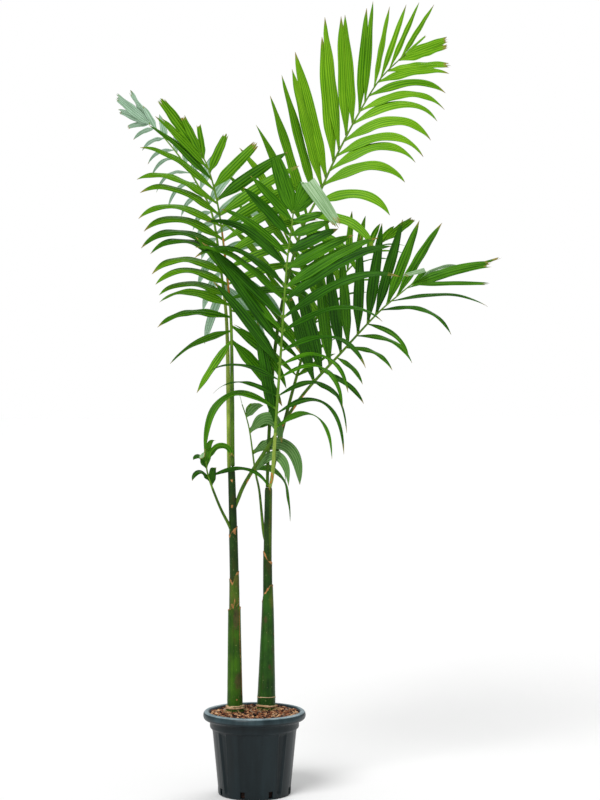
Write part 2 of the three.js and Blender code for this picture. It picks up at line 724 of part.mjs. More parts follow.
// A drain slot through the wall at the foot, closed at the bottom by the pot's floor.
function drainCut(angle) {
  const slot = new THREE.BoxGeometry(pot.drainWidth, pot.wall * 8, pot.drainHeight);
  slot.translate(0, -pot.footRadius, pot.floorThickness + gap + pot.drainHeight / 2);
  slot.rotateZ(radians(angle));
  return toSolid(slot);
}

// The fill keeps clear of the wall all the way down.
function soilSolid() {
  const lipBottom = pot.height - pot.lipDrop;
  const shoulder = pot.height - pot.shoulderDrop;
  const clear = pot.wall + gap * 2;
  const profile = [
    [0, pot.floorThickness + gap],
    [pot.footRadius - clear, pot.floorThickness + gap],
    [pot.bodyTopRadius - clear - gap, shoulder - 2 * pot.edge],
    [pot.shoulderRadius - clear - gap, lipBottom - pot.edge],
    [pot.shoulderRadius - clear, soil.surface - soil.edgeDrop],
    [pot.shoulderRadius - clear - soil.edgeWidth, soil.surface],
    [0, soil.surface],
  ];
  const body = new THREE.LatheGeometry(
    profile.map(([radius, height]) => new THREE.Vector2(radius, height)), soil.segments);
  body.rotateX(Math.PI / 2);
  return toSolid(body);
}

function namedMesh(name, solid, look) {
  const mesh = new THREE.Mesh(toGeometry(solid), new THREE.MeshStandardMaterial(look));
  mesh.name = name;
  return mesh;
}

function withBounds(body) {
  return { body, bounds: body.boundingBox() };
}

const group = new THREE.Group();
const placed = [];

function place(name, solid, look) {
  group.add(namedMesh(name, solid, look));
  placed.push(withBounds(solid));
}

place('pot', potSolid(), looks.pot);
place('soil', soilSolid(), looks.soil);
const grownStems = {};
for (const [name, stem] of Object.entries(stems)) {
  place(`stem_${name}`, stemSolid(stem, 0), looks.stem);
  grownStems[name] = stemSolid(stem, gap);
}

// The stalks and ribs come first, so that the leaflets can keep clear of them.
const courses = {};
const ribs = {};
for (const [name, frond] of Object.entries(fronds)) {
  courses[name] = courseOf(frond.rib);
  place(`stalk_${name}`, stalkSolid(frond, courses[name], grownStems[frond.stem]), looks.stalk);
  ribs[name] = withBounds(ribSolid(frond, courses[name]));
}

for (const [name, frond] of Object.entries(fronds)) {
  const course = courses[name];
  const draw = seededDraws(frond.seed);
  const otherRibs = Object.entries(ribs).filter(([other]) => other !== name).map(([, rib]) => rib);
  const neighbours = [...placed, ...otherRibs];
  const leaflets = [];
  growSide(frond, course, frond.left, 1, draw, neighbours, leaflets);
  growSide(frond, course, frond.right, -1, draw, neighbours, leaflets);
  growTips(frond, course, neighbours, leaflets);
  place(`frond_${name}`, joined([ribs[name].body, ...leaflets]), looks.frond);
}

export default group;
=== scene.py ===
# Potted areca nut palm: two green stems and eight feather fronds in a ribbed nursery pot.
import bpy
import random
import numpy as np
from math import atan2, copysign, cos, degrees, exp, hypot, pi, radians, sin, sqrt
from mathutils import Matrix, Vector
from mathutils.bvhtree import BVHTree


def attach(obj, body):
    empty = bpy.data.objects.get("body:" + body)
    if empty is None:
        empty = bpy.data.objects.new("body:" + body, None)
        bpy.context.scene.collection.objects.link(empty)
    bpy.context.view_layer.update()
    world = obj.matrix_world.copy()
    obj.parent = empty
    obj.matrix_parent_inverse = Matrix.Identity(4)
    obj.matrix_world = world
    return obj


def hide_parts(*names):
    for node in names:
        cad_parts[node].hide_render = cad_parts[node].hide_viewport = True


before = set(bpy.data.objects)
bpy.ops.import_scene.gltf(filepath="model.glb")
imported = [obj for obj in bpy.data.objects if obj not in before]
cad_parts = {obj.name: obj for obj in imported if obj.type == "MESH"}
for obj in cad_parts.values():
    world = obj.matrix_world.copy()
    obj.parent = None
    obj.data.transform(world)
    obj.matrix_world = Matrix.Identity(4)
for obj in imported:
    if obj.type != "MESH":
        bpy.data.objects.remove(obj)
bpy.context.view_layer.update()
metre = 0.001  # the plant is worked out in millimetres
up = Vector((0, 0, 1))


def smoothstep(value, low, high):
    share = np.clip((value - low) / (high - low), 0.0, 1.0)
    return share * share * (3 - 2 * share)


def rampAt(values, share):
    place = min(max(share, 0), 1) * (len(values) - 1)
    low = min(int(place), len(values) - 2)
    return values[low] + (values[low + 1] - values[low]) * (place - low)


# draws from -1 to 1, the same ones as the solids are grown by
def seededDraws(seed):
    state = [(seed * 7919) & 0xffffffff]

    def draw():
        state[0] = (state[0] * 1664525 + 1013904223) & 0xffffffff
        return state[0] / 4294967296 * 2 - 1
    return draw


# a screen's colour of 0 to 255 in a shader's linear form
def tint(colour):
    parts = [part / 255 for part in colour]
    return tuple(p / 12.92 if p <= 0.04045 else ((p + 0.055) / 1.055) ** 2.4 for p in parts) + (1,)


# A Signal is one socket; arithmetic on it adds Math nodes.
class Signal:
    def __init__(self, finish, socket):
        self.finish = finish
        self.socket = socket

    def maths(self, operation, *values):
        return self.finish.node("Math", {"operation": operation}, dict(enumerate(values)))

    def __add__(self, other):
        return self.maths("ADD", self, other)

    def __mul__(self, other):
        return self.maths("MULTIPLY", self, other)

    def wave(self):
        return self.maths("COSINE", self * (2 * pi)) * 0.5 + 0.5

    def between(self, low, high):
        return self.finish.node("MapRange", {"interpolation_type": "SMOOTHSTEP"},
                                {"Value": self, "From Min": low, "From Max": high})


# A Finish is one material, built round its Principled shader.
class Finish:
    def __init__(self, name, roughness, specular=0.5):
        self.material = bpy.data.materials.new(name)
        self.material.use_nodes = True
        self.tree = self.material.node_tree
        self.shader = self.tree.nodes["Principled BSDF"]
        self.shader.inputs["Roughness"].default_value = roughness
        self.shader.inputs["Specular IOR Level"].default_value = specular

    def node(self, kind, settings=None, sockets=None, output=0):
        made = self.tree.nodes.new("ShaderNode" + kind)
        for key, value in (settings or {}).items():
            setattr(made, key, value)
        for key, value in (sockets or {}).items():
            if isinstance(value, Signal):
                self.tree.links.new(value.socket, made.inputs[key])
            else:
                made.inputs[key].default_value = value
        return Signal(self, made.outputs[output])

    def mix(self, factor, first, second):
        return self.node("Mix", {"data_type": "RGBA"}, {0: factor, 6: first, 7: second}, 2)

    def noise(self, where, scale, detail=3.0, roughness=0.55):
        return self.node("TexNoise", None,
                         {"Vector": where, "Scale": scale, "Detail": detail, "Roughness": roughness})

    # noise with a scale of its own along each axis
    def grain(self, where, scales, detail, roughness=0.55):
        stretched = self.node("VectorMath", {"operation": "MULTIPLY"}, {0: where, 1: scales})
        return self.noise(stretched, 1.0, detail, roughness)

    def place(self):
        return self.node("TexCoord", None, None, 3)

    def bump(self, height, strength, distance):
        return self.node("Bump", None, {"Height": height, "Strength": strength, "Distance": distance})

    def wear(self, **links):
        for socket, signal in links.items():
            name = {"colour": "Base Color", "roughness": "Roughness", "normal": "Normal"}[socket]
            self.tree.links.new(signal.socket, self.shader.inputs[name])
        return self.material


speckTone = (168, 176, 112)
dustTone = (84, 100, 108)


# The last parameters of a finish say how fine its patterns are, per metre or in the units of a blade, which
# holds each point's place across in pleats, its share of the length and its leaflet's lot.
def leafFinish(name, ridge, shadedValley, roughness, pleatShadeShare=0.6, streak=(3.1, 2.2, 31), cloud=9.0, vein=5):
    finish = Finish(name, roughness, 0.1)
    blade = finish.node("Attribute", {"attribute_name": "blade"}, None, 1)
    across = finish.node("SeparateXYZ", None, {0: blade})
    streaks = finish.grain(blade, streak, 4)
    clouds = finish.noise(finish.place(), cloud)
    # the pleats' valleys take the darker colour as painted shade, in step with the folds, mixed with streaks
    # that are the leaflet's own tone
    pleatShadeAndStreaks = across.wave() * pleatShadeShare + streaks.between(0.32, 0.68) * (1 - pleatShadeShare)
    body = finish.mix(pleatShadeAndStreaks.between(0.08, 0.8), tint(shadedValley), tint(ridge))
    shade = finish.mix(clouds.between(0.35, 0.65) * 0.35, body, tint(shadedValley))
    veins = (across * vein).wave() * 0.6 + streaks
    return finish.wear(colour=shade, roughness=streaks * 0.2 + (roughness - 0.1),
                       normal=finish.bump(veins, 0.35, 0.0004))


def barkFinish(name, light, dark, roughness, grain=(260, 260, 9), mottle=0.6, stain=None, cloud=22.0,
               patch=(46, 46, 17), speck=(420, 420, 160)):
    finish = Finish(name, roughness, 0.15)
    where = finish.place()
    fibres = finish.grain(where, grain, 4)
    clouds = finish.noise(where, cloud, 4)
    mixed = fibres.between(0.32, 0.68) * (1 - mottle) + clouds.between(0.3, 0.68) * mottle
    body = finish.mix(mixed, tint(dark), tint(light))
    if stain:
        patches = finish.grain(where, patch, 5, 0.65)
        body = finish.mix(patches.between(0.5, 0.72) * 0.75, body, tint(stain))
        specks = finish.grain(where, speck, 2)
        body = finish.mix(specks.between(0.66, 0.76) * 0.5, body, tint(speckTone))
    return finish.wear(colour=body, roughness=fibres * 0.25 + (roughness - 0.12),
                       normal=finish.bump(fibres, 0.4, 0.0005))


def potFinish(name, dark, light, cloud=7.0, run=(26, 26, 1.2), scuff=(60, 60, 500), grit=900.0):
    finish = Finish(name, 0.4, 0.22)
    where = finish.place()
    clouds = finish.noise(where, cloud, 5)
    runs = finish.grain(where, run, 4)
    scuffs = finish.grain(where, scuff, 5, 0.7)
    grain = finish.noise(where, grit, 2)
    mixed = runs.between(0.35, 0.68) * 0.7 + clouds.between(0.3, 0.7) * 0.3
    body = finish.mix(mixed, tint(dark), tint(light))
    dusty = finish.mix(scuffs.between(0.6, 0.8) * 0.22, body, tint(dustTone))
    return finish.wear(colour=dusty, roughness=clouds * 0.16 + 0.3,
                       normal=finish.bump(grain + scuffs * 0.6, 0.22, 0.0003))


def chipFinish(name, light, dark, fibre=(90, 260, 260)):
    finish = Finish(name, 0.9, 0.25)
    fibres = finish.grain(finish.place(), fibre, 4)
    return finish.wear(colour=finish.mix(fibres.between(0.3, 0.7), tint(dark), tint(light)),
                       normal=finish.bump(fibres, 0.6, 0.0006))


def addObject(name, data):
    made = bpy.data.objects.new(name, data)
    bpy.context.scene.collection.objects.link(made)
    return made


# picks holds the number of its finish for every face
def makePiece(name, points, faces, finishes, picks, node, blade=None, flat=False):
    mesh = bpy.data.meshes.new(name)
    mesh.from_pydata((np.asarray(points) * metre).tolist(), [], faces)
    mesh.polygons.foreach_set("use_smooth", [not flat] * len(mesh.polygons))
    mesh.polygons.foreach_set("material_index", picks)
    for finish in finishes:
        mesh.materials.append(finish)
    if blade is not None:
        layer = mesh.attributes.new("blade", "FLOAT_VECTOR", "POINT")
        layer.data.foreach_set("vector", np.asarray(blade, dtype=np.float32).ravel())
    mesh.update()
    piece = addObject(name, mesh)
    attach(piece, "root")
    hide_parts(*node)
    return piece


# the sides of a grid of points whose rows are rings
def gridFaces(rows, columns):
    ids = np.arange(rows * columns).reshape(rows, columns)
    turned = np.roll(ids, -1, axis=1)
    return np.stack([ids[:-1], turned[:-1], turned[1:], ids[1:]], axis=-1).reshape(-1, 4)


# the same with a cap at both ends
def tubeFaces(rows, columns):
    last = (rows - 1) * columns
    caps = [list(range(columns))[::-1], list(range(last, last + columns))]
    return gridFaces(rows, columns).tolist() + caps


# a box's corners, the lower four first, and its sides
boxCorners = np.array([(x, y, z) for z in (-1.0, 1.0) for x, y in ((-1, -1), (1, -1), (1, 1), (-1, 1))])
boxQuads = np.array([(0, 3, 2, 1), (4, 5, 6, 7), (0, 1, 5, 4), (1, 2, 6, 5), (2, 3, 7, 6), (3, 0, 4, 7)])


# the course of a stem or a rib, the same curve as the solids have
class Course:
    divisions = 400
    feel = 1e-4

    def __init__(self, points):
        self.points = [Vector(point) for point in points]
        samples = [self.at(step / self.divisions) for step in range(self.divisions + 1)]
        steps = [(b - a).length for a, b in zip(samples, samples[1:])]
        self.lengths = np.concatenate([[0], np.cumsum(steps)])
        self.length = float(self.lengths[-1])

    def at(self, share):
        spans = len(self.points) - 1
        place = share * spans
        span = min(int(place), spans - 1)
        rest = place - span
        here, there = self.points[span], self.points[span + 1]
        before = self.points[span - 1] if span > 0 else here * 2 - there
        after = self.points[span + 2] if span + 2 <= spans else there * 2 - here
        leave, arrive = (there - before) * 0.5, (after - here) * 0.5
        bend = here * -3 + there * 3 - leave * 2 - arrive
        ease = here * 2 - there * 2 + leave + arrive
        return here + leave * rest + bend * rest ** 2 + ease * rest ** 3

    def share(self, along):
        return float(np.interp(along * self.length, self.lengths, np.linspace(0, 1, self.divisions + 1)))

    def pointAt(self, along):
        return self.at(self.share(along))

    def wayAt(self, along):
        share = self.share(along)
        return (self.at(min(share + self.feel, 1)) - self.at(max(share - self.feel, 0))).normalized()


# the part of a direction that is square to way
def squareTo(way, direction):
    return (direction - way * direction.dot(way)).normalized()


# the way of a course, the direction across it and the one it faces; face is its facing at both ends
def frameAt(course, along, face):
    way = course.wayAt(along)
    looking = squareTo(way, Vector(face[0]).lerp(Vector(face[1]), along))
    return way, looking.cross(way), looking


def onCircle(radius, angle):
    return radius * cos(angle), radius * sin(angle)


def fullTurn(columns):
    return np.linspace(0, 2 * pi, columns, endpoint=False)


# a limb swept along a course, with a row of radii for every stop
def sweptLimb(course, stops, face, radii):
    points = []
    angles = fullTurn(len(radii[0]))
    for along, ring in zip(stops, radii):
        way, across, looking = frameAt(course, along, face)
        centre = course.pointAt(along)
        for angle, radius in zip(angles, ring):
            points.append(tuple(centre + across * (cos(angle) * radius)
                                + looking * (sin(angle) * radius)))
    return points, tubeFaces(len(stops), len(angles))


# The fronds, in millimetres and degrees. Each list of a side runs from its first leaflet to its last, and a
# tip is its angle to the side, its lift, reach, width and sag, and its fold where it has one.
fronds = {}
fronds["middle"] = dict(
    seed=11, shade="deep", bare=0.205, stalkRadius=[4.1, 5, 4], ribRadius=[4, 1.8],
    face=[[0, -1, 0.1], [0, -1, 0.35]],
    rib=[[40, 33.5, 807], [48, 16, 850], [58, -10, 1000], [72, -40, 1192], [85, -58, 1383], [99, -68, 1494],
         [103, -72, 1531]],
    left=dict(
        count=14, louvre=12, width=[35, 22, 14, 15, 30, 30, 28, 28, 28, 27, 26, 27, 28, 26],
        reach=[284, 335, 215, 205, 275, 315, 334, 281, 286, 289, 254, 214, 183, 165],
        spread=[16, 56, 66, 66, 38, 37, 46, 46, 49, 51, 48, 53, 53, 46],
        lift=[8, 24, 24, 22, 16, 12, 11, 13, 19, 23, 18, 13, 9, 8],
        sag=[0, 5.2, 1.4, 1.1, 0.3, 0.1, 0, 0.2, 1, 1.6, 1.2, 0.6, 0.2, 0.1],
        turn=[0, 0.8, 0.7, 0.7, 0.3, 0.1, 0, 0.2, 0.4, 0.6, 0.5, 0.3, 0.1, 0]),
    right=dict(
        count=14, louvre=10, width=[18, 17, 17, 18, 25, 30, 36, 33, 30, 24],
        reach=[270, 300, 270, 260, 305, 335, 310, 180, 115, 90],
        spread=[48, 52, 56, 60, 56, 50, 47, 56, 60, 66], lift=[20, 22, 24, 26, 20, 8, 6, 6, 8, 6],
        sag=[4.6, 4.4, 3.6, 2.8, 1.5, 0.9, 0.5, 0.2, 0.1, 0],
        turn=[0.8, 0.8, 0.9, 0.9, 0.7, 0.3, 0.2, 0, 0, 0]),
    tips=[(24, 2, 148, 44, 0), (-19, 10, 236, 38, 0, (0.37, 150, 30)), (-44, 6, 90, 26, 0)],
)
fronds["right"] = dict(
    seed=23, shade="deep", bare=0.5, stalkRadius=[5.2, 4.6, 4], ribRadius=[3.9, 1.6],
    face=[[0.2, -1, 0.2], [0.2, -1, 0.35]],
    rib=[[-57, 13, 745], [-45, 16, 775], [-23, 24, 824], [38, 36, 920], [126, 46, 1051], [230, 52, 1166],
         [324, 58, 1268], [390, 62, 1326], [422, 65, 1352]],
    left=dict(
        count=11, louvre=12, width=[36, 38, 36, 31, 31, 32, 31, 30, 27, 12],
        reach=[250, 285, 265, 255, 255, 265, 275, 250, 235, 190],
        spread=[60, 56, 53, 49, 45, 40, 34, 28, 24, -2], lift=[24, 22, 20, 18, 16, 14, 12, 10, 8, 16],
        sag=[0.05, 0.05, 0, 0, 0, 0, 0, 0, 0.1, 1.3], turn=[0, 0, 0, 0, 0, 0, 0, 0, 0, 0.3]),
    right=dict(
        count=9, louvre=8, width=[14, 16, 13, 16, 18, 15, 15, 19, 12, 12],
        reach=[90, 150, 100, 130, 215, 170, 150, 240, 260, 250],
        spread=[70, 72, 80, 64, 44, 60, 66, 34, 30, 22], lift=[10, 16, 20, 26, 28, 26, 20, 30, 12, 6],
        sag=[1, 1, 1.2, 1.4, 1.5, 1.6, 1.6, 1.7, 0.7, 0],
        turn=[0, 0.3, 0.3, 0.5, 0.5, 0.3, 0.4, 0.5, 0.2, 0.2], bluntFrom=0.9),
    tips=[(-20, 4, 215, 27, 0.3), (-38, 4, 200, 12, 0.1), (4, 22, 130, 13, 0.1, (0.4, 120, -10))],
)
fronds["left"] = dict(
    seed=37, shade="bright", bare=0.39, stalkRadius=[4.9, 5.4, 4.1], ribRadius=[3.9, 1.7],
    face=[[-0.1, -1, 0.3], [0.25, -1, 0.5]],
    rib=[[-56.4, 8.4, 856], [-58, 3, 900], [-61, -6, 1222], [-69, -14, 1337], [-85, -28, 1483],
         [-99, -38, 1570], [-119, -48, 1644], [-139, -56, 1687]],
    left=dict(
        count=17, louvre=6, width=[21, 24, 28, 30, 30, 28, 27, 27, 24, 20],
        reach=[165, 230, 240, 250, 262, 270, 262, 250, 215, 160],
        spread=[142, 76, 62, 60, 60, 58, 54, 44, 31, 18], lift=[16, 32, 30, 30, 28, 26, 22, 16, 10, 6],
        sag=[0.3, 1, 1.15, 1.3, 1.4, 1.4, 1.2, 1, 0.4, 0.1],
        turn=[0.6, 0.6, 0.6, 0.6, 0.6, 0.5, 0.5, 0.4, 0.2, 0]),
    right=dict(
        count=14, louvre=10, width=[34, 24, 24, 24, 26, 28, 31, 32, 28, 16],
        reach=[215, 225, 235, 240, 250, 275, 255, 225, 120, 88],
        spread=[150, 118, 78, 70, 68, 66, 66, 64, 54, 22], lift=[28, 14, 12, 12, 10, 10, 8, 4, 4, 4],
        sag=[0.7, 1.6, 1.2, 0.9, 0.7, 0.5, 0.3, 0.1, 0, 0],
        turn=[0.2, 0.3, 0.3, 0.3, 0.3, 0.2, 0.1, 0, 0, 0], bluntFrom=0.84),
    tips=[(14, 2, 172, 32, 0), (6, 8, 108, 22, 0)],
)
fronds["topRight"] = dict(
    seed=41, shade="backlit", bare=0.4, stalkRadius=[4.1, 4.9, 4.2], ribRadius=[4.1, 1.6],
    face=[[0.1, -1, 0.1], [0.1, -1, 0.25]],
    rib=[[33, 42.5, 807], [34, 54, 860], [38, 64, 960], [49, 84, 1142], [74, 112, 1311], [120, 146, 1490],
         [168, 172, 1594], [214, 200, 1699], [279, 240, 1829], [344, 278, 1938], [418, 318, 2018]],
    left=dict(
        count=19, louvre=14, width=[28, 30, 33, 36, 40, 43, 40, 38, 29, 19, 17, 16],
        reach=[250, 280, 300, 330, 340, 350, 372, 340, 300, 268, 236, 200],
        spread=[60, 56, 50, 46, 41, 36, 34, 31, 27, 23, 20, 15],
        lift=[30, 28, 26, 24, 22, 20, 18, 16, 14, 12, 10, 8],
        sag=[0.5, 0.4, 0.5, 0.3, 0.1, 0, 0, 0, 0, 0, 0, 0], turn=[0.2, 0.2, 0, 0, 0, 0, 0, 0, 0, 0, 0, 0]),
    right=dict(
        count=16, louvre=6, width=[24, 26, 28, 30, 34, 37, 36, 35, 28, 25, 33, 32],
        reach=[170, 200, 220, 235, 250, 262, 278, 272, 260, 225, 180, 140],
        spread=[112, 106, 96, 70, 46, 37, 35, 33, 33, 34, 36, 26],
        lift=[34, 34, 32, 30, 28, 26, 24, 22, 18, 14, 8, 4],
        sag=[1.2, 1.3, 1.5, 1.7, 1.8, 1.9, 2, 1.9, 1.6, 1.2, 0.3, 0],
        turn=[0.1, 0.1, 0.1, 0.1, 0.1, 0, 0, 0, 0, 0, 0, 0], bluntFrom=0.88),
    tips=[(-4, 4, 88, 7, 0), (-25, 4, 132, 26, 0)],
)
fronds["backLeft"] = dict(
    seed=53, shade="pale", bare=0.46, stalkRadius=[4.9, 5.5, 3.9], ribRadius=[3.7, 1.6],
    face=[[0.5, 0.8, 0.3], [0.5, 0.8, 0.6]],
    rib=[[-67.2, 15.6, 856], [-69, 24, 900], [-75, 66, 1214], [-90, 104, 1364], [-119, 146, 1545],
         [-168, 178, 1644], [-216, 208, 1717], [-270, 240, 1784], [-300, 258, 1814]],
    left=dict(
        count=12, louvre=12, width=[38, 30, 26, 24, 20, 18],
        reach=[235, 215, 180, 170, 140, 110, 85, 75, 80, 80],
        spread=[146, 120, 62, 58, 54, 48, 42, 36, 28, 16], lift=[30, 34, 38, 42, 46, 50, 50, 46, 30, 10],
        sag=[0.8, 0.9, 1, 0.9, 0.7, 0.5, 0.4, 0.3, 0.2, 0.1],
        turn=[0.4, 0.4, 0.4, 0.3, 0.3, 0.2, 0.2, 0.1, 0, 0]),
    right=dict(
        count=13, louvre=24, width=[24, 22, 18, 15, 13, 13, 14],
        reach=[170, 150, 120, 110, 130, 180, 190, 165, 130, 110],
        spread=[128, 108, 86, 70, 60, 54, 48, 44, 44, 44], lift=[14, 16, 18, 18, 16, 14, 12, 10, 8, 6],
        sag=[0.8, 1, 1.4, 1.5, 1.5, 1.5, 1.4, 1.2, 0.9, 0.6],
        turn=[0.7, 0.7, 0.6, 0.6, 0.6, 0.6, 0.5, 0.4, 0.3, 0.2]),
    tips=[(-9, 4, 158, 34, 0), (-24, 8, 160, 25, 0.1), (-40, 10, 134, 15, 0.2), (10, 8, 118, 26, 0)],
)
fronds["backRight"] = dict(
    seed=67, shade="bright", bare=0.36, stalkRadius=[4.1, 4.6, 4], ribRadius=[3.9, 1.6],
    face=[[0.1, -1, 0.5], [0.3, -1, 0.7]],
    rib=[[40.5, 44, 807], [50, 58, 860], [61, 72, 914], [75, 90, 968], [106, 130, 1085], [147, 176, 1221],
         [207, 228, 1343], [289, 276, 1438], [366, 312, 1494]],
    left=dict(
        count=12, louvre=14, width=[20, 24, 24, 22, 20, 17],
        reach=[230, 240, 250, 250, 240, 220, 200, 160, 110, 80],
        spread=[66, 62, 58, 54, 50, 46, 42, 36, 28, 20], lift=[20, 20, 20, 18, 18, 16, 14, 12, 10, 8],
        sag=[0.4, 0.4], turn=[0.2, 0.2]),
    right=dict(
        count=10, louvre=16, width=[22, 20, 16, 12, 11, 10],
        reach=[120, 120, 130, 140, 150, 150, 140, 130, 120, 90],
        spread=[38, 38, 38, 38, 36, 34, 34, 32, 30, 26], lift=[24, 24, 22, 22, 20, 18, 16, 14, 12, 10],
        sag=[0.5, 0.5, 0.6, 0.7, 0.8, 0.9, 1, 0.9, 0.8, 0.6],
        turn=[0.6, 0.6, 0.6, 0.6, 0.5, 0.5, 0.4, 0.4, 0.3, 0.2]),
    tips=[(4, 4, 105, 26, 0.2)],
)
fronds["oldMiddle"] = dict(
    seed=71, shade="bright", bare=0.48, stalkRadius=[5, 3.8, 3], ribRadius=[2.9, 1.5],
    face=[[1, 0.1, 0.3], [1, 0.1, 0.3]],
    rib=[[32, 40, 655], [23, 42, 692], [12, 60, 794], [0, 76, 850], [-14, 92, 948], [-24, 98, 992],
         [-36, 100, 1028]],
    left=dict(
        count=4, louvre=0, width=[27, 34, 36, 22], reach=[190, 215, 165, 70], spread=[62, 62, 62, 56],
        lift=[52, 54, 56, 56], sag=[5, 5.2, 4.2, 1.4], turn=[0.3, 0.3]),
    right=dict(
        count=4, louvre=0, width=[24, 32, 32, 20], reach=[250, 220, 190, 70], spread=[84, 60, 60, 50],
        lift=[44, 46, 48, 50], sag=[5, 4.8, 4, 1.2], turn=[0.5, 0.5, 0.5, 0.4]),
    tips=[(0, 4, 30, 8, 0.2)],
)
fronds["oldLeft"] = dict(
    seed=83, shade="deep", bare=0.66, stalkRadius=[4.6, 3.6, 3], ribRadius=[2.9, 1.6],
    face=[[0.4, -1, 0.4], [0.4, -1, 0.4]],
    rib=[[-57, 11, 668], [-64, 7, 700], [-90, -4, 754], [-114, -14, 816], [-124, -18, 850],
         [-128, -20, 880]],
    left=dict(
        count=2, louvre=0, width=[18, 22], reach=[78, 66], spread=[20, 14], lift=[26, 20], sag=[3.3, 3],
        turn=[0.5, 0.5]),
    right=dict(
        count=3, louvre=0, width=[20, 13, 20], reach=[70, 195, 84], spread=[26, 84, 8], lift=[30, 12, 20],
        sag=[3.2, 2.2, 3.8], turn=[0.6, 0.5, 0.6]),
    tips=[(10, 24, 64, 24, 3.4), (-34, 8, 104, 17, 3.9)],
)

# A pair is a range, apart from place, the first and its jitter, and thinner, at the edge and at the tip.
leaf = dict(
    footShare=0.24, swell=0.3, taper=4.6, bluntTaper=4, bluntShare=0.62, leastHalf=0.4, place=(0.4, 0.15),
    reachJitter=0.05, angleJitter=3, twistJitter=7, nudges=[0, 5, -5, 10, -10, 16, -16, 24, -24, 34, -34],
    tipSunk=4, steps=32, stripStep=4, rollBy=0.6, pleatPitch=7.4, pleatDepth=0.6, pleatColumns=4,
    fullHalf=9, vault=0.16, thickness=0.7, thinner=(0.72, 0.5), waver=1.6, waves=(1.5, 3.5),
    waverFrom=(0.05, 0.4), drift=14, tornFrom=0.7, tornDepth=0.05, paleFoot=0.025, dry=0.038, tipDry=0.025,
    dryLot=(0.3, 1.8), darkShare=(0.55, 0.3), darkBelow=(1250, 1650),
)


# the centre line of a leaflet: it bends down under its weight and rolls level as it bends;
# a fold is its share of the length, its angle and the slant of its crease
def leafPath(root, heading, edge, reach, sag, turn, twist, fold=(1, 0, 0)):
    steps = leaf["steps"]
    foldShare, foldAngle, foldSlant = fold
    foldStep = round(foldShare * steps)
    place, way = root.copy(), heading.copy()
    rim = Matrix.Rotation(radians(twist), 3, way) @ squareTo(way, edge)
    crease = rim.copy()
    side = copysign(1, way.cross(up).dot(rim))
    centres, ways, rims = [], [], []
    for step in range(steps + 1):
        share = step / steps
        level = way.cross(up) * side
        roll = atan2(level.dot(way.cross(rim)), level.dot(rim))
        angle = roll * turn * level.length * smoothstep(share, 0, leaf["rollBy"])
        centres.append(place.copy())
        ways.append(way.copy())
        rims.append(Matrix.Rotation(angle, 3, way) @ rim)
        place += way * (reach / steps)
        way = (way - up * (sag * 2 * (share + 0.5 / steps) / steps)).normalized()
        if step == foldStep - 1:
            crease = Matrix.Rotation(radians(foldSlant), 3, rim.cross(way)) @ rim
        if step in (foldStep - 1, foldStep):
            bent = Matrix.Rotation(radians(foldAngle / 2), 3, crease)
            way, rim = bent @ way, bent @ rim
        rim = squareTo(way, rim)
    return np.array(centres), np.array(ways), np.array(rims)


def leafHalves(width, blunt, shares):
    body = leaf["footShare"] + (1 - leaf["footShare"]) * smoothstep(shares, 0, leaf["swell"])
    lost = (1 - leaf["bluntShare"]) * shares ** leaf["bluntTaper"] if blunt else shares ** leaf["taper"]
    return np.maximum(body * (1 - lost) * width / 2, leaf["leastHalf"])


# whether a plain strip along a leaflet's path meets nothing that stands in its way
def hasRoom(path, width, blunt, neighbours):
    centres, _, rims = path
    halves = leafHalves(width, blunt, np.linspace(0, 1, len(centres)))
    points = []
    for row in range(0, len(centres), leaf["stripStep"]):
        points += [centres[row] - rims[row] * halves[row], centres[row] + rims[row] * halves[row]]
    faces = [(k, k + 1, k + 3, k + 2) for k in range(0, len(points) - 2, 2)]
    strip = BVHTree.FromPolygons([tuple(point) for point in points], faces)
    return not any(strip.overlap(other) for other in neighbours)


